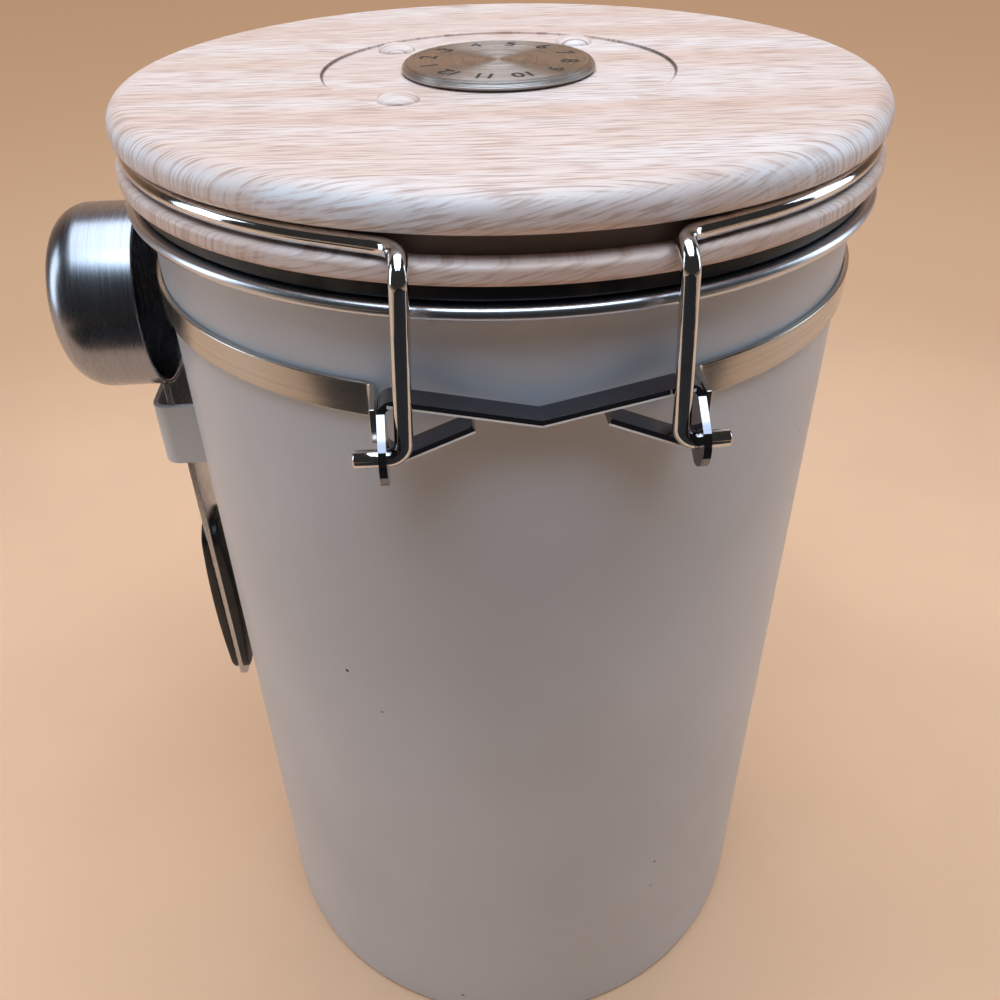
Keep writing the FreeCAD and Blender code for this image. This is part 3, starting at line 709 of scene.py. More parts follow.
@dataclass(frozen=True)
class TurnedSteel(Finish):
    """Steel faced on a lathe: fine rings about the dial's axis.

    Attributes:
        colour: Colour of the steel.
        dull: Share of the colour in the dark rings.
        ring_scale: Number of rings in a millimetre.
        ring_depth: Depth of the rings.
        sheen_size: Size of the areas of like sheen.
        rough: Roughness of the face.
    """

    colour: Colour
    dull: float = 0.66
    ring_scale: float = 4.2
    ring_depth: float = 0.4
    sheen_size: float = 7.0
    rough: float = 0.2

    def paint(self, graph: Graph) -> bpy.types.Material:
        """Draws the turned face.

        Args:
            graph: The material's graph.

        Returns:
            The material.
        """
        x, y, z = graph.place()
        radius = (x * x + y * y) ** 0.5
        ring = graph.noise(radius * self.ring_scale, 1.0, z * 3, rough=0.6)
        sheen = graph.noise(x / self.sheen_size, y / self.sheen_size, 4.0)
        tone = graph.mix(ring.ramp(*SOFT), shaded(self.colour, self.dull), self.colour)
        return graph.surface(
            Base_Color=tone, Metallic=1.0, Roughness=self.rough + ring * 0.1 + sheen * 0.06,
            Normal=graph.bump(ring, self.ring_depth))


@dataclass(frozen=True)
class Felt(Finish):
    """White fibre pad.

    Attributes:
        colour: Colour of the fibres.
        dull: Share of the colour between them.
        fibre_scale: Number of fibres in a millimetre.
        depth: Depth between them.
        rough: Roughness of the pad.
    """

    colour: Colour
    dull: float = 0.7
    fibre_scale: float = 3.0
    depth: float = 0.15
    rough: float = 0.95

    def paint(self, graph: Graph) -> bpy.types.Material:
        """Draws the felt.

        Args:
            graph: The material's graph.

        Returns:
            The material.
        """
        x, y, z = (part * self.fibre_scale for part in graph.place())
        fibre = graph.noise(x, y, z, detail=5, rough=0.7)
        tone = graph.mix(fibre, shaded(self.colour, self.dull), self.colour)
        relief = graph.bump(fibre, self.depth, strength=0.8)
        return graph.surface(Base_Color=tone, Roughness=self.rough, Normal=relief)


CAN_PAINT = SatinPaint("can_paint", srgb(206, 207, 213), srgb(197, 197, 201), BEAD_LOW)
CLIP_PAINT = SatinPaint("can_paint", srgb(214, 214, 214), srgb(206, 205, 203))
BAND = BrushedSteel("band_steel", srgb(206, 202, 196), Grain.ROUND, rough=0.14, depth=0.006)
BRACKET = Plating("bracket_steel", srgb(128, 125, 130), rough=0.08, cut=59.9,
                  runs=(Run(0.2194, 155.9, -1.0), Run(-0.4107, 159.15, 8.0)))
WIRE = Plating("chrome_wire", srgb(214, 213, 212))
PRINT = GrainPrint("lid_print", pale=srgb(231, 212, 204), tan=srgb(220, 188, 172), dark=srgb(178, 138, 119),
                   white=srgb(238, 236, 240), level=LID_TOP, step=27.3)
# Dark core: a tan moulding, darkened further as painted shade for the groove between flange and top.
CORE = Moulded("lid_core", srgb(112, 96, 84), rough=0.55)
SILICONE = Moulded("black_silicone", srgb(22, 21, 22), rough=0.42, dust=0.1)
PLASTIC = Moulded("inner_plastic", srgb(228, 225, 218), rough=0.45)
VALVE = Moulded("valve_plastic", srgb(212, 211, 208), rough=0.42)
DISC = Moulded("valve_rubber", srgb(70, 70, 70), rough=0.6)
FELT = Felt("filter_felt", srgb(236, 233, 226))
DIAL = TurnedSteel("dial_steel", srgb(176, 168, 163))
FASTENER = BrushedSteel("fastener_steel", srgb(190, 190, 190), Grain.ROUND, rough=0.3)
CUP = BrushedSteel("scoop_steel", srgb(168, 170, 178), Grain.SPUN, rough=0.2, depth=0.005)
STRAP = BrushedSteel("scoop_steel", srgb(204, 204, 206), Grain.UPRIGHT, rough=0.2)
GRIP = Moulded("black_grip", srgb(20, 20, 21), rough=0.4, dust=0.06, texture=0.03)
INK = Moulded("dial_steel", srgb(26, 24, 24), rough=0.6)


class Mesh:
    """Makes mesh objects in the row's frame from sizes in millimetres and angles in degrees."""

    WELD = 1e-7
    CREASE = 32.0
    WIRE_CREASE = 50.0
    COPY_CREASE = 25.0
    COPY_FLAT = 1.0
    BEVEL_FROM = 38.0
    BEVEL_STEPS = 3
    WIRE_EASE = 0.25

    @staticmethod
    def solid(name: str, points: Iterable[Sequence[float]], faces: list[Face],
              crease: float = CREASE) -> bpy.types.Object:
        """Makes an object with smooth faces and sharp creases.

        Args:
            name: Object name.
            points: Corners.
            faces: Corner numbers of each face.
            crease: Angle above which an edge is sharp.

        Returns:
            The linked object.
        """
        data = bpy.data.meshes.new(name)
        data.from_pydata([tuple(part * MM for part in point) for point in points], [], faces)
        work = bmesh.new()
        work.from_mesh(data)
        bmesh.ops.remove_doubles(work, verts=work.verts, dist=Mesh.WELD)
        bmesh.ops.recalc_face_normals(work, faces=work.faces)
        for face in work.faces:
            face.smooth = True
        for edge in work.edges:
            edge.smooth = edge.calc_face_angle(0.0) < math.radians(crease)
        work.to_mesh(data)
        work.free()
        return linked(name, data)

    @staticmethod
    def skin(rings: int, count: int) -> list[Face]:
        """Joins rings of corners in a row, which stays open at both ends.

        Args:
            rings: Number of rings.
            count: Corners of each ring, numbered ring by ring.

        Returns:
            The faces between the rings.
        """
        faces = []
        for low in range(0, (rings - 1) * count, count):
            for side in range(count):
                after = (side + 1) % count
                faces.append((low + side, low + after, low + count + after, low + count + side))
        return faces

    @staticmethod
    def hoop(rings: int, count: int) -> list[Face]:
        """Joins rings of corners in a row whose last ring joins the first.

        Args:
            rings: Number of rings.
            count: Corners of each ring, numbered ring by ring.

        Returns:
            The faces between the rings.
        """
        faces = []
        for ring in range(rings):
            here, there = ring * count, (ring + 1) % rings * count
            for side in range(count):
                after = (side + 1) % count
                faces.append((here + side, there + side, there + after, here + after))
        return faces

    @staticmethod
    def bend(before: Vector, here: Vector, after: Vector, radius: float) -> Arc:
        """Fits an arc in a corner.

        Args:
            before, here, after: The corner, between the points next to it.
            radius: The arc's radius.

        Returns:
            The arc's centre, the ways from it to the arc's start and end, and half the corner's angle.
        """
        back, ahead = (before - here).normalized(), (after - here).normalized()
        half = back.angle(ahead) / 2
        middle = here + (back + ahead).normalized() * radius / math.sin(half)
        start = here + back * radius / math.tan(half) - middle
        end = here + ahead * radius / math.tan(half) - middle
        return middle, start, end, half

    @staticmethod
    def rounded(corners: Sequence[tuple[float, float, float]], steps: int = 8) -> list[Point]:
        """Rounds the corners of a flat closed outline.

        Args:
            corners: (x, y, radius) of each corner.
            steps: Points on each rounded corner, less one.

        Returns:
            The outline's points.
        """
        outline = []
        spots = [Vector((x, y)) for x, y, radius in corners]
        for number, (x, y, radius) in enumerate(corners):
            if radius <= 0:
                outline.append((x, y))
                continue
            after = spots[(number + 1) % len(spots)]
            middle, start, end, _ = Mesh.bend(spots[number - 1], spots[number], after, radius)
            turn = start.angle_signed(end)
            outline += [tuple(middle + Matrix.Rotation(-turn * step / steps, 2) @ start)
                        for step in range(steps + 1)]
        return outline

    @staticmethod
    def lathe(name: str, outline: Sequence[Point], segments: int = 160) -> bpy.types.Object:
        """Turns a closed outline of (radius, height) round the vertical axis.

        Args:
            name: Object name.
            outline: Points of the outline.
            segments: Steps of the turn.

        Returns:
            The object.
        """
        count = len(outline)
        points = [polar(radius, angle, z) for angle in circle(segments) for radius, z in outline]
        axis = {number for number, (radius, z) in enumerate(outline) if radius == 0}
        faces = [face for face in Mesh.hoop(segments, count)
                 if not (face[0] % count in axis and face[-1] % count in axis)]
        return Mesh.solid(name, points, faces)

    @staticmethod
    def moved(made: bpy.types.Object, shift: Sequence[float]) -> bpy.types.Object:
        """Moves an object's mesh by a shift."""
        made.data.transform(Matrix.Translation(Vector(shift) * MM))
        return made

    @staticmethod
    def slab(name: str, outline: Sequence[Point], low: float, high: float, edge: float) -> bpy.types.Object:
        """Raises a flat outline between two levels, with softened edges.

        Args:
            name: Object name.
            outline: (x, y) points in order.
            low, high: Levels.
            edge: Width of the softened edge.

        Returns:
            The object.
        """
        count = len(outline)
        points = [(x, y, level) for level in (low, high) for x, y in outline]
        faces = [tuple(range(count)), tuple(range(count, 2 * count)), *Mesh.skin(2, count)]
        return Mesh.soften(Mesh.solid(name, points, faces), edge)

    @staticmethod
    def soften(made: bpy.types.Object, edge: float) -> bpy.types.Object:
        """Bevels the sharp edges of an object.

        Args:
            made: The object.
            edge: Width of the bevel.

        Returns:
            The object.
        """
        bevel = made.modifiers.new("edges", "BEVEL")
        bevel.width = edge * MM
        bevel.segments = Mesh.BEVEL_STEPS
        bevel.limit_method = "ANGLE"
        bevel.angle_limit = math.radians(Mesh.BEVEL_FROM)
        bevel.harden_normals = True
        return made

    @staticmethod
    def both_sides(half: Sequence[Sequence[float]]) -> list[Vector]:
        """Gives the points of a half and then, in reverse order, their mirror images in x."""
        return [Vector(spot) for spot in half] + [Vector((-x, y, z)) for x, y, z in reversed(half)]

    @staticmethod
    def route(corners: Sequence[Sequence[float]], radii: Sequence[float], steps: int = 9) -> list[Vector]:
        """Gives the points of a bent wire's centre line.

        Args:
            corners: Ends and corners.
            radii: Bend radius of each inner corner.
            steps: Points on each bend, less one.

        Returns:
            The points along the line.
        """
        spots = [Vector(corner) for corner in corners]
        line = [spots[0]]
        for before, here, after, radius in zip(spots, spots[1:], spots[2:], radii):
            middle, start, end, half = Mesh.bend(before, here, after, radius)
            axis = start.cross(end)
            turn = math.pi - 2 * half
            line += [middle + Matrix.Rotation(turn * step / steps, 3, axis) @ start
                     for step in range(steps + 1)]
        return line + [spots[-1]]

    @staticmethod
    def wire(name: str, line: Sequence[Vector], radius: float, sides: int = 20) -> bpy.types.Object:
        """Runs a round wire with eased ends along a line.

        Args:
            name: Object name.
            line: Centre points.
            radius: Wire radius.
            sides: Corners of the section.

        Returns:
            The object.
        """
        ease = Mesh.WIRE_EASE * radius
        first, last = (line[1] - line[0]).normalized(), (line[-2] - line[-1]).normalized()
        spots = [line[0], line[0] + first * ease, *line[1:-1], line[-1] + last * ease, line[-1]]
        sizes = [radius - ease, *[radius] * (len(spots) - 2), radius - ease]
        aside = first.orthogonal().normalized()
        points = []
        for before, spot, after, size in zip([spots[0], *spots], spots, [*spots[1:], spots[-1]], sizes):
            along = (after - before).normalized()
            aside = (aside - along * aside.dot(along)).normalized()
            other = along.cross(aside)
            points += [spot + aside * (size * math.cos(angle)) + other * (size * math.sin(angle))
                       for angle in circle(sides)]
        caps = [tuple(range(sides)), tuple(range(len(points) - sides, len(points)))]
        return Mesh.solid(name, points, caps + Mesh.skin(len(spots), sides), Mesh.WIRE_CREASE)

    @staticmethod
    def ring(name: str, centre: Vector, radius: float, thick: float, steps: int = 40) -> bpy.types.Object:
        """Makes a wire eye about an axis along X.

        Args:
            name: Object name.
            centre: Middle of the eye.
            radius: Radius of its centre line.
            thick: Radius of its wire.
            steps: Points round the eye and, halved, round its wire.

        Returns:
            The object.
        """
        sides = steps // 2
        points = []
        for turn in circle(steps):
            out = Vector((0, math.cos(turn), math.sin(turn)))
            for angle in circle(sides):
                along = Vector((thick * math.sin(angle), 0, 0))
                points.append(centre + out * (radius + thick * math.cos(angle)) + along)
        return Mesh.solid(name, points, Mesh.hoop(steps, sides))

    @staticmethod
    def eased_copy(node: str, edge: float) -> bpy.types.Object:
        """Copies a CAD node with softened edges.

        Args:
            node: CAD node.
            edge: Width of the softened edge.

        Returns:
            The copy, which replaces the node.
        """
        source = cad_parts[node].data
        points = [tuple(spot.co / MM) for spot in source.vertices]
        faces = [tuple(face.vertices) for face in source.polygons]
        made = Mesh.solid(node + "_eased", points, faces, Mesh.COPY_CREASE)
        work = bmesh.new()
        work.from_mesh(made.data)
        flat = math.radians(Mesh.COPY_FLAT)
        bmesh.ops.dissolve_limit(work, angle_limit=flat, verts=work.verts, edges=work.edges)
        work.to_mesh(made.data)
        work.free()
        return Mesh.soften(made, edge)


@dataclass
class Part:
    """A sub-assembly.

    Attributes:
        pieces: Its finished pieces.
    """

    pieces: list[bpy.types.Object] = field(default_factory=list, init=False)

    def build(self) -> None:
        """Builds the pieces that have a shape of their own."""
        raise NotImplementedError

    def dress(self) -> None:
        """Finishes the pieces that keep their CAD shape, where there are any."""

    def coat(self, made: bpy.types.Object, finish: Finish) -> None:
        """Gives a piece its finish.

        Args:
            made: The piece.
            finish: Its finish.
        """
        made.data.materials.clear()
        made.data.materials.append(finish.material())
        self.pieces.append(made)

    def fit(self, made: bpy.types.Object, body: str, finish: Finish, *nodes: str) -> None:
        """Finishes a piece, sets it on its body and lets it stand for CAD nodes.

        Args:
            made: The piece.
            body: The CAD body that it rides on.
            finish: Its finish.
            nodes: CAD nodes that it replaces.
        """
        self.coat(made, finish)
        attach(made, body)
        if nodes:
            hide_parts(*nodes)


@dataclass(frozen=True)
class Ears:
    """What the ears of the two brackets set for the wires in them.

    Attributes:
        reach: Distance of the pins from the can's axis.
        level: Height of the pins.
        arm: Distance of a wire's arm from the middle plane, at the pin.
        pin_end: Distance of the pin's end from that plane.
        pin_bend: Bend radius between arm and pin.
        wire: Radius of the wire.
    """

    reach: float = 61.3
    level: float = 153.3
    arm: float = 17.1
    pin_end: float = 23.4
    pin_bend: float = 2.0
    wire: float = 1.15


EARS = Ears()


@dataclass
class Can(Part):
    """Painted can with its neck band, brackets and scoop clip."""

    radius: float = 56.0
    wall: float = 0.8
    height: float = 170.8
    base_round: float = 1.4
    floor_round: float = 1.0
    groove_in: float = 38.0
    groove_out: float = 46.0
    groove_rise: float = 1.2
    groove_round: float = 0.6
    bead_radius: float = 58.8
    bead_low: float = BEAD_LOW
    bead_round: float = 0.85
    neck_round: float = 0.3
    mouth_round: float = 0.35
    segments: int = 220
    band_low: float = 154.2
    band_height: float = 4.8
    band_thick: float = 0.8
    band_gap: float = 0.1
    band_tip: float = 59.4
    band_flat: float = 20.6
    band_edge: float = 0.18
    bend: float = 1.3
    bend_steps: int = 8
    bow_steps: int = 60
    bracket_edge: float = 0.14
    clip_edge: float = 0.16

    def build(self) -> None:
        """Builds the shell and the two halves of the band."""
        inner = self.radius - self.wall
        rise, soft = self.groove_rise, self.groove_round
        under = [(self.groove_in, 0.0), (self.groove_in + rise, rise),
                 (self.groove_out - rise, rise), (self.groove_out, 0.0)]
        outline = Mesh.rounded([
            (0, 0, 0), *[(x, z, soft) for x, z in under], (self.radius, 0, self.base_round),
            (self.radius, self.bead_low, self.neck_round), (self.bead_radius, self.bead_low, self.bead_round),
            (self.bead_radius, self.height, self.bead_round), (inner, self.height, self.mouth_round),
            (inner, self.wall, self.floor_round), *[(x, z + self.wall, soft) for x, z in reversed(under)],
            (0, self.wall, 0)])
        self.fit(Mesh.lathe("can_shell", outline, self.segments), "can", CAN_PAINT, "can_body")
        for label, side in (("band_left", -1), ("band_right", 1)):
            self.fit(self.band(label + "_strip", side), "can", BAND, label)

    def band(self, name: str, side: int) -> bpy.types.Object:
        """Makes one half of the band.

        Args:
            name: Object name.
            side: -1 or 1, the sign of x.

        Returns:
            The object.
        """
        half = self.band_thick / 2
        line = self.radius + self.band_gap + half
        centre_x = self.band_flat + self.bend
        centre_y = math.sqrt((line + self.bend) ** 2 - centre_x ** 2)
        lead = math.atan2(centre_y, centre_x)

        def edge(offset: float) -> list[Point]:
            """Draws one side of the strip, from end to end.

            Args:
                offset: Distance outward from the strip's middle line.

            Returns:
                The points in order.
            """
            turn = self.bend - offset
            hook = [(centre_x - turn * math.cos(angle), -centre_y + turn * math.sin(angle))
                    for angle in (lead * step / self.bend_steps for step in range(self.bend_steps + 1))]
            bow = [polar(line + offset, lead * step / self.bow_steps)[:2]
                   for step in range(1 - self.bow_steps, self.bow_steps)]
            start = [(self.band_flat + offset, -self.band_tip), *hook]
            return [*start, *bow, *[(x, -y) for x, y in reversed(start)]]

        outline = [(side * x, y) for x, y in edge(half) + edge(-half)[::-1]]
        return Mesh.slab(name, outline, self.band_low, self.band_low + self.band_height, self.band_edge)

    def dress(self) -> None:
        """Eases and finishes the bent strips that keep their CAD shape."""
        for node in ("hinge_bracket", "latch_bracket"):
            self.fit(Mesh.eased_copy(node, self.bracket_edge), "can", BRACKET, node)
        self.fit(Mesh.eased_copy("scoop_clip", self.clip_edge), "can", CLIP_PAINT, "scoop_clip")


@dataclass
class Lid(Part):
    """Lid with its printed discs, gasket, bail wire and inner cover."""

    top_radius: float = 58.8
    top_low: float = 179.0
    top_high: float = LID_TOP
    top_round: float = 2.9
    under_round: float = 1.66
    recess_radius: float = 27.4
    recess_level: float = 183.8
    recess_round: float = 0.1
    recess_lip: float = 0.14
    roof: float = 182.4
    roof_round: float = 0.4
    cavity: float = 51.8
    cavity_lip: float = 0.2
    bore: float = 3.55
    boss: float = 7.0
    boss_drop: float = 3.0
    boss_round: float = 0.3
    bore_lip: float = 0.2
    flange_radius: float = 59.0
    flange_low: float = 173.4
    flange_high: float = 176.1
    flange_bore: float = 46.8
    flange_round: float = 0.81
    seal_bore: float = 46.3
    seal_radius: float = 57.4
    seal_low: float = 171.0
    seal_lip: float = 49.8
    seal_lip_high: float = 171.7
    seal_round: float = 0.5
    seal_lip_round: float = 0.2
    disc_segments: int = 240
    seal_segments: int = 200
    dome_ring: float = 22.8
    dome_radius: float = 3.1
    dome_height: float = 1.2
    dome_azimuths: tuple[float, ...] = (-133.0, 134.0, 51.0)
    dome_steps: int = 12
    dome_segments: int = 64
    dome_skirt: tuple[Point, ...] = ((0.3, -0.03), (0.08, 0.02))
    dome_sink: float = -0.3
    post_count: int = 4
    post_ring: float = 36.0
    post_radius: float = 3.2
    post_low: float = 167.6
    post_bore: float = 1.35
    post_depth: float = 7.0
    post_segments: int = 32
    wire_sides: int = 24
    wire_level: float = 177.55
    ring_radius: float = 57.1
    ring_flat: float = 54.3
    ring_steps: int = 90
    flat_bend: float = 6.0
    flat_steps: int = 10
    leg_top: float = 16.0
    leg_bend: float = 2.4
    lead: float = 5.4
    setback: float = 2.76

    def build(self) -> None:
        """Builds the turned pieces and the wire."""
        self.disc()
        self.posts()
        self.rings()
        for number, azimuth in enumerate(self.dome_azimuths, 1):
            self.fit(self.dome(f"lid_dome_{number}", math.radians(azimuth)), "lid", PRINT)
        self.wire()

    def disc(self) -> None:
        """Turns the upper disc."""
        foot = self.roof - self.boss_drop
        top = Mesh.rounded([
            (self.bore, self.recess_level, self.recess_round),
            (self.recess_radius, self.recess_level, self.recess_round),
            (self.recess_radius, self.top_high, self.recess_lip),
            (self.top_radius, self.top_high, self.top_round),
            (self.top_radius, self.top_low, self.under_round),
            (self.cavity, self.top_low, self.cavity_lip), (self.cavity, self.roof, self.roof_round),
            (self.boss, self.roof, self.boss_round), (self.boss, foot, self.boss_round),
            (self.bore, foot, self.bore_lip)], steps=12)
        self.fit(Mesh.lathe("lid_disc", top, self.disc_segments), "lid", PRINT, "lid_top")

    def posts(self) -> None:
        """Turns the posts that take the screws of the inner cover."""
        end = self.roof - self.post_depth
        post = [(self.post_bore, end), (self.post_bore, self.post_low), (self.post_radius, self.post_low),
                (self.post_radius, self.roof), (0, self.roof), (0, end)]
        for number in range(1, self.post_count + 1):
            angle = math.radians(360 / self.post_count * number)
            made = Mesh.lathe(f"lid_post_{number}", post, self.post_segments)
            self.fit(Mesh.moved(made, polar(self.post_ring, angle)), "lid", PRINT)

    def rings(self) -> None:
        """Turns the flange and the seal below it."""
        flange = Mesh.rounded([
            (self.flange_bore, self.flange_low, 0),
            (self.flange_radius, self.flange_low, self.flange_round),
            (self.flange_radius, self.flange_high, self.flange_round),
            (self.flange_bore, self.flange_high, 0)], steps=10)
        self.fit(Mesh.lathe("lid_flange_ring", flange, self.disc_segments), "lid", PRINT, "lid_flange")
        gasket = Mesh.rounded([
            (self.seal_bore, self.seal_low, self.seal_lip_round),
            (self.seal_radius, self.seal_low, self.seal_round),
            (self.seal_radius, self.flange_low, self.seal_round), (self.seal_lip, self.flange_low, 0),
            (self.seal_lip, self.seal_lip_high, 0),
            (self.seal_bore, self.seal_lip_high, self.seal_lip_round)], steps=6)
        self.fit(Mesh.lathe("lid_seal", gasket, self.seal_segments), "lid", SILICONE, "lid_gasket")

    def dome(self, name: str, azimuth: float) -> bpy.types.Object:
        """Makes one low dome on the recess floor.

        Args:
            name: Object name.
            azimuth: Its direction from the lid's axis.

        Returns:
            The object.
        """
        rise = [(self.dome_radius * math.cos(angle), self.dome_height * math.sin(angle))
                for angle in quarter(self.dome_steps)[:-1]]
        skirt = [(self.dome_radius + out, z) for out, z in self.dome_skirt]
        base = [(0.0, self.dome_sink), (skirt[0][0], self.dome_sink)]
        outline = [*skirt, *rise, (0.0, self.dome_height), *base]
        made = Mesh.lathe(name, outline, self.dome_segments)
        return Mesh.moved(made, polar(self.dome_ring, azimuth, self.recess_level))

    def wire(self) -> None:
        """Bends the bail: pins, legs, straight leads and the ring, drawn flat on the latch side."""
        top = Vector((self.leg_top, -EARS.reach, self.wire_level))
        corner = Vector((self.leg_top, self.lead - EARS.reach, self.wire_level))
        spread = math.acos(self.ring_radius / math.hypot(corner.x, corner.y))
        touch = math.atan2(corner.y, corner.x) + spread
        inset = self.ring_radius - self.flat_bend
        level = self.ring_flat - self.flat_bend
        centre = (math.sqrt(inset ** 2 - level ** 2), level)
        leave = math.atan2(level, centre[0])
        ring = self.arc((0.0, 0.0), self.ring_radius, touch, leave, self.ring_steps)
        flat = self.arc(centre, self.flat_bend, leave, math.pi / 2, self.flat_steps)
        half = (top - corner).normalized().angle(ring[0] - corner) / 2
        leg = Mesh.route([(EARS.pin_end, -EARS.reach, EARS.level), (EARS.arm, -EARS.reach, EARS.level),
                          top, corner, ring[0]],
                         [EARS.pin_bend, self.leg_bend, self.setback * math.tan(half)])
        line = Mesh.both_sides([*leg, *ring[1:], *flat[1:]])
        self.fit(Mesh.wire("bail", line, EARS.wire, self.wire_sides), "lid", WIRE, "bail_wire")

    def arc(self, centre: Point, radius: float, start: float, end: float, steps: int) -> list[Vector]:
        """Gives points of a level arc of the wire.

        Args:
            centre: Its centre.
            radius: Its radius.
            start, end: Its angles in radians.
            steps: Number of its parts.

        Returns:
            The points in order.
        """
        x, y = centre
        angles = [start + (end - start) * step / steps for step in range(steps + 1)]
        return [Vector((x + radius * math.cos(angle), y + radius * math.sin(angle), self.wire_level))
                for angle in angles]

    def dress(self) -> None:
        """Finishes the hidden pieces that keep their CAD shape."""
        for node, finish in (("lid_core", CORE), ("lid_inner_cover", PLASTIC), ("lid_screws", FASTENER),
                             ("valve_body", VALVE), ("valve_retainer", VALVE), ("valve_filter", FELT),
                             ("valve_disc", DISC)):
            self.coat(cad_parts[node], finish)


@dataclass
class Dial(Part):
    """Date dial with its figures, all but those whose counter would close made heavier."""

    radius: float = 15.0
    low: float = 184.1
    high: float = 185.3
    wall: float = 0.5
    inner_round: float = 0.5
    foot_round: float = 0.12
    rim_round: float = 1.0
    figure_count: int = 12
    figure_ring: float = 11.0
    figure_size: float = 3.9
    figure_rise: float = 0.02
    figure_weight: float = 0.07
    figure_spacing: float = 0.92
    left_light: tuple[int, ...] = (4,)
    first: float = 224.8

    def build(self) -> None:
        """Builds the cap and engraves the figures 1 to 12."""
        inner, roof = self.radius - self.wall, self.high - self.wall
        cap = Mesh.rounded([
            (0, roof, 0), (inner, roof, self.inner_round), (inner, self.low, 0),
            (self.radius, self.low, self.foot_round), (self.radius, self.high, self.rim_round),
            (0, self.high, 0)], steps=12)
        self.fit(Mesh.lathe("dial_cap", cap), "dial", DIAL, "dial_face")
        for value in range(1, self.figure_count + 1):
            self.fit(self.figure(value), "dial", INK)

    def figure(self, value: int) -> bpy.types.Object:
        """Makes one figure, its top towards the rim.

        Args:
            value: The number.

        Returns:
            The object.
        """
        text = bpy.data.curves.new(f"figure_{value}", "FONT")
        text.body = str(value)
        text.align_x, text.align_y = "CENTER", "CENTER"
        text.size = self.figure_size * MM
        text.extrude = self.figure_rise * MM
        text.offset = 0.0 if value in self.left_light else self.figure_weight * MM
        text.space_character = self.figure_spacing
        holder = linked(f"figure_{value}_text", text)
        depsgraph = bpy.context.evaluated_depsgraph_get()
        data = bpy.data.meshes.new_from_object(holder.evaluated_get(depsgraph))
        bpy.data.objects.remove(holder)
        azimuth = math.radians(self.first - 360 / self.figure_count * value)
        spot = Vector(polar(self.figure_ring, azimuth, self.high)) * MM
        data.transform(Matrix.Translation(spot) @ Matrix.Rotation(azimuth - math.pi / 2, 4, "Z"))
        return linked(f"dial_figure_{value}", data)

    def dress(self) -> None:
        """Finishes the pieces under the cap."""
        for node, finish in (("dial_hub", PLASTIC), ("dial_washer", FASTENER), ("dial_screw", FASTENER)):
            self.coat(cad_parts[node], finish)


@dataclass
class Latch(Part):
    """Wire lever and wire link, drawn just released."""

    rest: float = 20.0
    share: float = 0.35
    length: float = 48.0
    kick: float = 6.0
    kick_bend: float = 12.0
    end_bend: float = 6.0
    foot: float = 16.0
    crank: float = 5.0
    bar_radius: float = 1.1
    bar_middle: float = 5.0
    link_radius: float = 1.0
    link_offset: float = 12.0
    link_bend: float = 2.0
    rise: float = 29.25
    hook: float = -4.6
    eye: float = 2.18

    def build(self) -> None:
        """Builds the lever with its cross bar and the link with its eyes."""
        pivot = Vector((0, EARS.reach, EARS.level))
        swing = Matrix.Rotation(math.radians(self.rest), 3, "X")
        crank = pivot + swing @ Vector((0, 0, -self.crank))
        self.lever(pivot, swing)
        bar = [crank + Vector((x, 0, 0)) for x in (-EARS.arm, -self.bar_middle, self.bar_middle, EARS.arm)]
        self.fit(Mesh.wire("lever_bar", bar, self.bar_radius), "latch_lever", WIRE)
        self.link(crank)

    def lever(self, pivot: Vector, swing: Matrix) -> None:
        """Bends the lever.

        Args:
            pivot: Middle of its pins.
            swing: Its turn about them.
        """
        corners = Mesh.both_sides([
            (EARS.pin_end, 0, 0), (EARS.arm, 0, 0), (EARS.arm, 0, self.foot - self.length),
            (EARS.arm, self.kick, -self.length)])
        bends = [EARS.pin_bend, self.kick_bend, self.end_bend]
        line = Mesh.route([pivot + swing @ corner for corner in corners], bends + bends[::-1])
        self.fit(Mesh.wire("lever_loop", line, EARS.wire), "latch_lever", WIRE, "latch_lever")

    def link(self, crank: Vector) -> None:
        """Bends the link and its eyes.

        Args:
            crank: Middle of the bar that the eyes turn on.
        """
        lean = Matrix.Rotation(-math.radians(self.rest * self.share), 3, "X")
        corners = Mesh.both_sides([
            (self.link_offset, 0, self.eye), (self.link_offset, 0, self.rise),
            (self.link_offset, self.hook, self.rise)])
        line = Mesh.route([crank + lean @ corner for corner in corners], [self.link_bend] * 4)
        self.fit(Mesh.wire("link_loop", line, self.link_radius), "latch_link", WIRE, "latch_link")
        for number, side in enumerate((-1, 1), 1):
            centre = crank + Vector((side * self.link_offset, 0, 0))
            self.fit(Mesh.ring(f"link_eye_{number}", centre, self.eye, self.link_radius), "latch_link", WIRE)


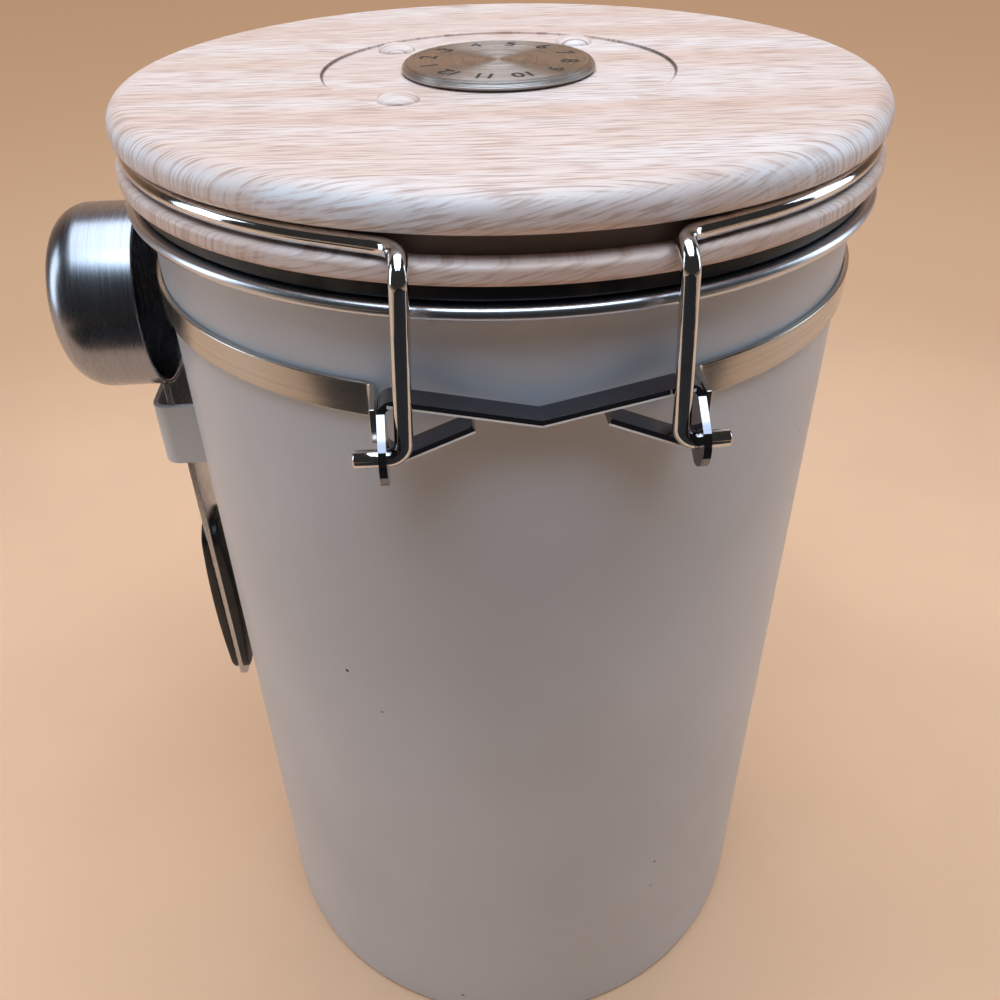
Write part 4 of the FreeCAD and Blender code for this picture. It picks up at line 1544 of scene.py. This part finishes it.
@dataclass
class Scoop(Part):
    """Scoop with its spun cup, strap and grips."""

    plane: float = 59.3
    cup_radius: float = 15.5
    cup_depth: float = 15.1
    cup_level: float = 149.8
    cup_wall: float = 0.6
    cup_round: float = 6.0
    cup_lip: float = 0.25
    cup_segments: int = 140
    strap_edge: float = 0.15
    grip_edge: float = 0.1

    def build(self) -> None:
        """Spins the cup."""
        inner, floor = self.cup_radius - self.cup_wall, self.cup_depth - self.cup_wall
        outline = Mesh.rounded([
            (0, floor, 0), (inner, floor, self.cup_round - self.cup_wall), (inner, 0, self.cup_lip),
            (self.cup_radius, 0, self.cup_lip), (self.cup_radius, self.cup_depth, self.cup_round),
            (0, self.cup_depth, 0)], steps=14)
        cup = Mesh.lathe("cup_shell", outline, self.cup_segments)
        spot = Vector((-self.plane, 0, self.cup_level)) * MM
        cup.data.transform(Matrix.Translation(spot) @ Matrix.Rotation(-math.pi / 2, 4, "Y"))
        self.fit(cup, "scoop", CUP, "scoop_cup")

    def dress(self) -> None:
        """Eases the strap and the bowed grips and finishes the rivets."""
        self.fit(Mesh.eased_copy("scoop_handle", self.strap_edge), "scoop", STRAP, "scoop_handle")
        for node in ("grip_outer", "grip_inner"):
            self.fit(Mesh.eased_copy(node, self.grip_edge), "scoop", GRIP, node)
        self.coat(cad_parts["grip_rivets"], FASTENER)


@dataclass(frozen=True)
class Lamp:
    """One soft lamp.

    Attributes:
        name: Lamp name.
        spot: Place in metres.
        aim: Point that it faces.
        size: Width and height in metres.
        power: Power in watts.
        tint: Colour.
    """

    name: str
    spot: Spot
    aim: Spot
    size: Point
    power: float
    tint: Colour = (0.76, 0.88, 1.0)

    def light(self) -> bpy.types.Object:
        """Puts the lamp in the scene.

        Returns:
            The lamp.
        """
        data = bpy.data.lights.new(self.name, "AREA")
        data.shape = "RECTANGLE"
        data.size, data.size_y = self.size
        data.energy, data.color = self.power, self.tint
        made = linked(self.name, data)
        made.location = self.spot
        made.rotation_euler = (Vector(self.aim) - Vector(self.spot)).to_track_quat("-Z", "Y").to_euler()
        return made


LAMPS = (
    Lamp("lamp_top", (0.0, 0.02, 0.85), (0.0, 0.02, 0.1), (0.8, 0.8), 7.7),
    Lamp("lamp_front", (0.0, -0.4, 0.95), (0.0, -0.05, 0.15), (0.7, 0.3), 2.7, (0.62, 0.8, 1.0)),
    Lamp("lamp_left", (-0.7, 0.05, 0.3), (0.0, 0.0, 0.1), (0.25, 0.5), 1.35),
    Lamp("lamp_right", (0.7, 0.1, 0.3), (0.0, 0.0, 0.1), (0.25, 0.5), 1.15))


@dataclass
class Studio(Part):
    """Pale floor that sweeps up all round the object, soft light and the camera."""

    eye: Spot = (-0.012524, -0.159135, 0.217971)
    right: Spot = (0.996381, -0.083392, -0.016428)
    up: Spot = (0.062592, 0.589166, 0.805584)
    lens: float = 34.44
    sensor: float = 36.0
    clip: Point = (0.01, 20.0)
    floor: Colour = srgb(234, 189, 153)
    floor_dull: float = 0.93
    floor_rough: float = 0.6
    floor_cloud: float = 90.0
    cove_steps: int = 12
    crease: float = 60.0
    sweep_front: float = -1400.0
    sweep_flat: float = 420.0
    sweep_cove: float = 260.0
    sweep_top: float = 1500.0
    sweep_half: float = 1600.0
    sweep_drop: float = 0.05
    flag_half: float = 450.0
    flag_near: float = -150.0
    flag_far: float = -1300.0
    flag_level: float = 1.0
    flag_colour: Colour = srgb(34, 30, 30)
    flag_rough: float = 0.9
    bowl_flat: float = 550.0
    bowl_cove: float = 450.0
    bowl_top: float = 2500.0
    bowl_sides: int = 96
    bowl_drop: float = 0.02
    glow_start: Point = (220.0, 415.0)
    glow_range: Point = (400.0, 1000.0)
    glow_near: Colour = srgb(206, 170, 141)
    glow_far: Colour = srgb(176, 138, 107)
    sky: Colour = (0.6, 0.56, 0.54)
    sky_strength: float = 0.06

    def build(self) -> None:
        """Builds the floors and the camera."""
        self.sweep()
        self.flag()
        self.bowl()
        self.camera()

    def cove(self, flat: float, radius: float) -> list[Point]:
        """Draws the curve from the floor to the wall.

        Args:
            flat: Distance at which the floor starts to rise.
            radius: Radius of the curve.

        Returns:
            (distance, height) of its points.
        """
        return [(flat + radius * math.sin(angle), radius - radius * math.cos(angle))
                for angle in quarter(self.cove_steps)]

    def paper(self, graph: Graph, place: Place) -> Sock:
        """Draws the floor's two tones and gives the colour."""
        tone = graph.mottle(place, self.floor_cloud, detail=3)
        return graph.mix(tone.ramp(*SOFT), self.floor, shaded(self.floor, self.floor_dull))

    def sweep(self) -> None:
        """Builds the floor that bounces light and shows in the bright metal."""
        side = [(self.sweep_front, 0.0), *self.cove(self.sweep_flat, self.sweep_cove),
                (self.sweep_flat + self.sweep_cove, self.sweep_top)]
        points = [(x, y, z - self.sweep_drop) for y, z in side for x in (-self.sweep_half, self.sweep_half)]
        faces = [(low, low + 1, low + 3, low + 2) for low in range(0, 2 * len(side) - 2, 2)]
        stage = Mesh.solid("stage_sweep", points, faces, self.crease)
        graph = Graph("stage_paper")
        stage.data.materials.append(graph.surface(
            Base_Color=self.paper(graph, graph.place()), Roughness=self.floor_rough))
        stage.visible_camera = stage.visible_shadow = False
        self.pieces.append(stage)

    def flag(self) -> None:
        """Builds the dark card that shows only in the bright metal."""
        half, near, far = self.flag_half, self.flag_near, self.flag_far
        corners = ((-half, near), (half, near), (half, far), (-half, far))
        card = Mesh.solid("stage_flag", [(x, y, self.flag_level) for x, y in corners], [(0, 1, 2, 3)])
        card.visible_camera = card.visible_shadow = card.visible_diffuse = False
        dark = Graph("stage_velvet")
        card.data.materials.append(dark.surface(Base_Color=self.flag_colour, Roughness=self.flag_rough))
        self.pieces.append(card)

    def bowl(self) -> None:
        """Builds the floor that the camera sees, lit by itself where it rises."""
        side = [*self.cove(self.bowl_flat, self.bowl_cove), (self.bowl_flat + self.bowl_cove, self.bowl_top)]
        points = [polar(radius, angle, z - self.bowl_drop)
                  for radius, z in side for angle in circle(self.bowl_sides)]
        faces = [tuple(range(self.bowl_sides)), *Mesh.skin(len(side), self.bowl_sides)]
        bowl = Mesh.solid("stage_bowl", points, faces, self.crease)
        bowl.visible_glossy = bowl.visible_shadow = bowl.visible_diffuse = False
        graph = Graph("stage_bowl_paper")
        x, y, z = place = graph.place()
        away = (x * x + y * y + 1) ** 0.5
        # Painted light: beyond the lit floor the bowl glows, darker farther out, standing in for lamp light
        # on the backdrop.
        lift = away.ramp(*self.glow_start)
        glow = graph.mix(away.ramp(*self.glow_range), self.glow_near, self.glow_far)
        bowl.data.materials.append(graph.surface(
            Base_Color=graph.mix(lift, self.paper(graph, place), BLACK), Roughness=self.floor_rough,
            Specular_IOR_Level=0.0, Emission_Color=graph.mix(lift, BLACK, glow), Emission_Strength=1.0))
        self.pieces.append(bowl)

    def camera(self) -> None:
        """Sets the camera that was fitted to the photograph."""
        data = bpy.data.cameras.new("camera")
        data.lens, data.sensor_width = self.lens, self.sensor
        data.clip_start, data.clip_end = self.clip
        camera = linked("camera", data)
        right, up = Vector(self.right), Vector(self.up)
        turn = Matrix((right, up, right.cross(up))).transposed().to_4x4()
        camera.matrix_world = Matrix.Translation(self.eye) @ turn
        bpy.context.scene.camera = camera
        self.pieces.append(camera)

    def dress(self) -> None:
        """Sets the lamps, the sky and the view transform."""
        self.pieces += [lamp.light() for lamp in LAMPS]
        world = bpy.data.worlds.new("studio")
        world.use_nodes = True
        sky = world.node_tree.nodes["Background"].inputs
        sky["Color"].default_value = (*self.sky, 1.0)
        sky["Strength"].default_value = self.sky_strength
        bpy.context.scene.world = world
        bpy.context.scene.view_settings.view_transform = "Standard"


def main() -> None:
    """Builds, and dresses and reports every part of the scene."""
    logging.basicConfig(level=logging.INFO, format="%(name)s: %(message)s")
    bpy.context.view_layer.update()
    for part in (Studio(), Can(), Lid(), Dial(), Latch(), Scoop()):
        part.build()
        part.dress()
        for piece in part.pieces:
            log.info("%s: %s", type(part).__name__, piece.name)


if __name__ == "__main__":
    main()
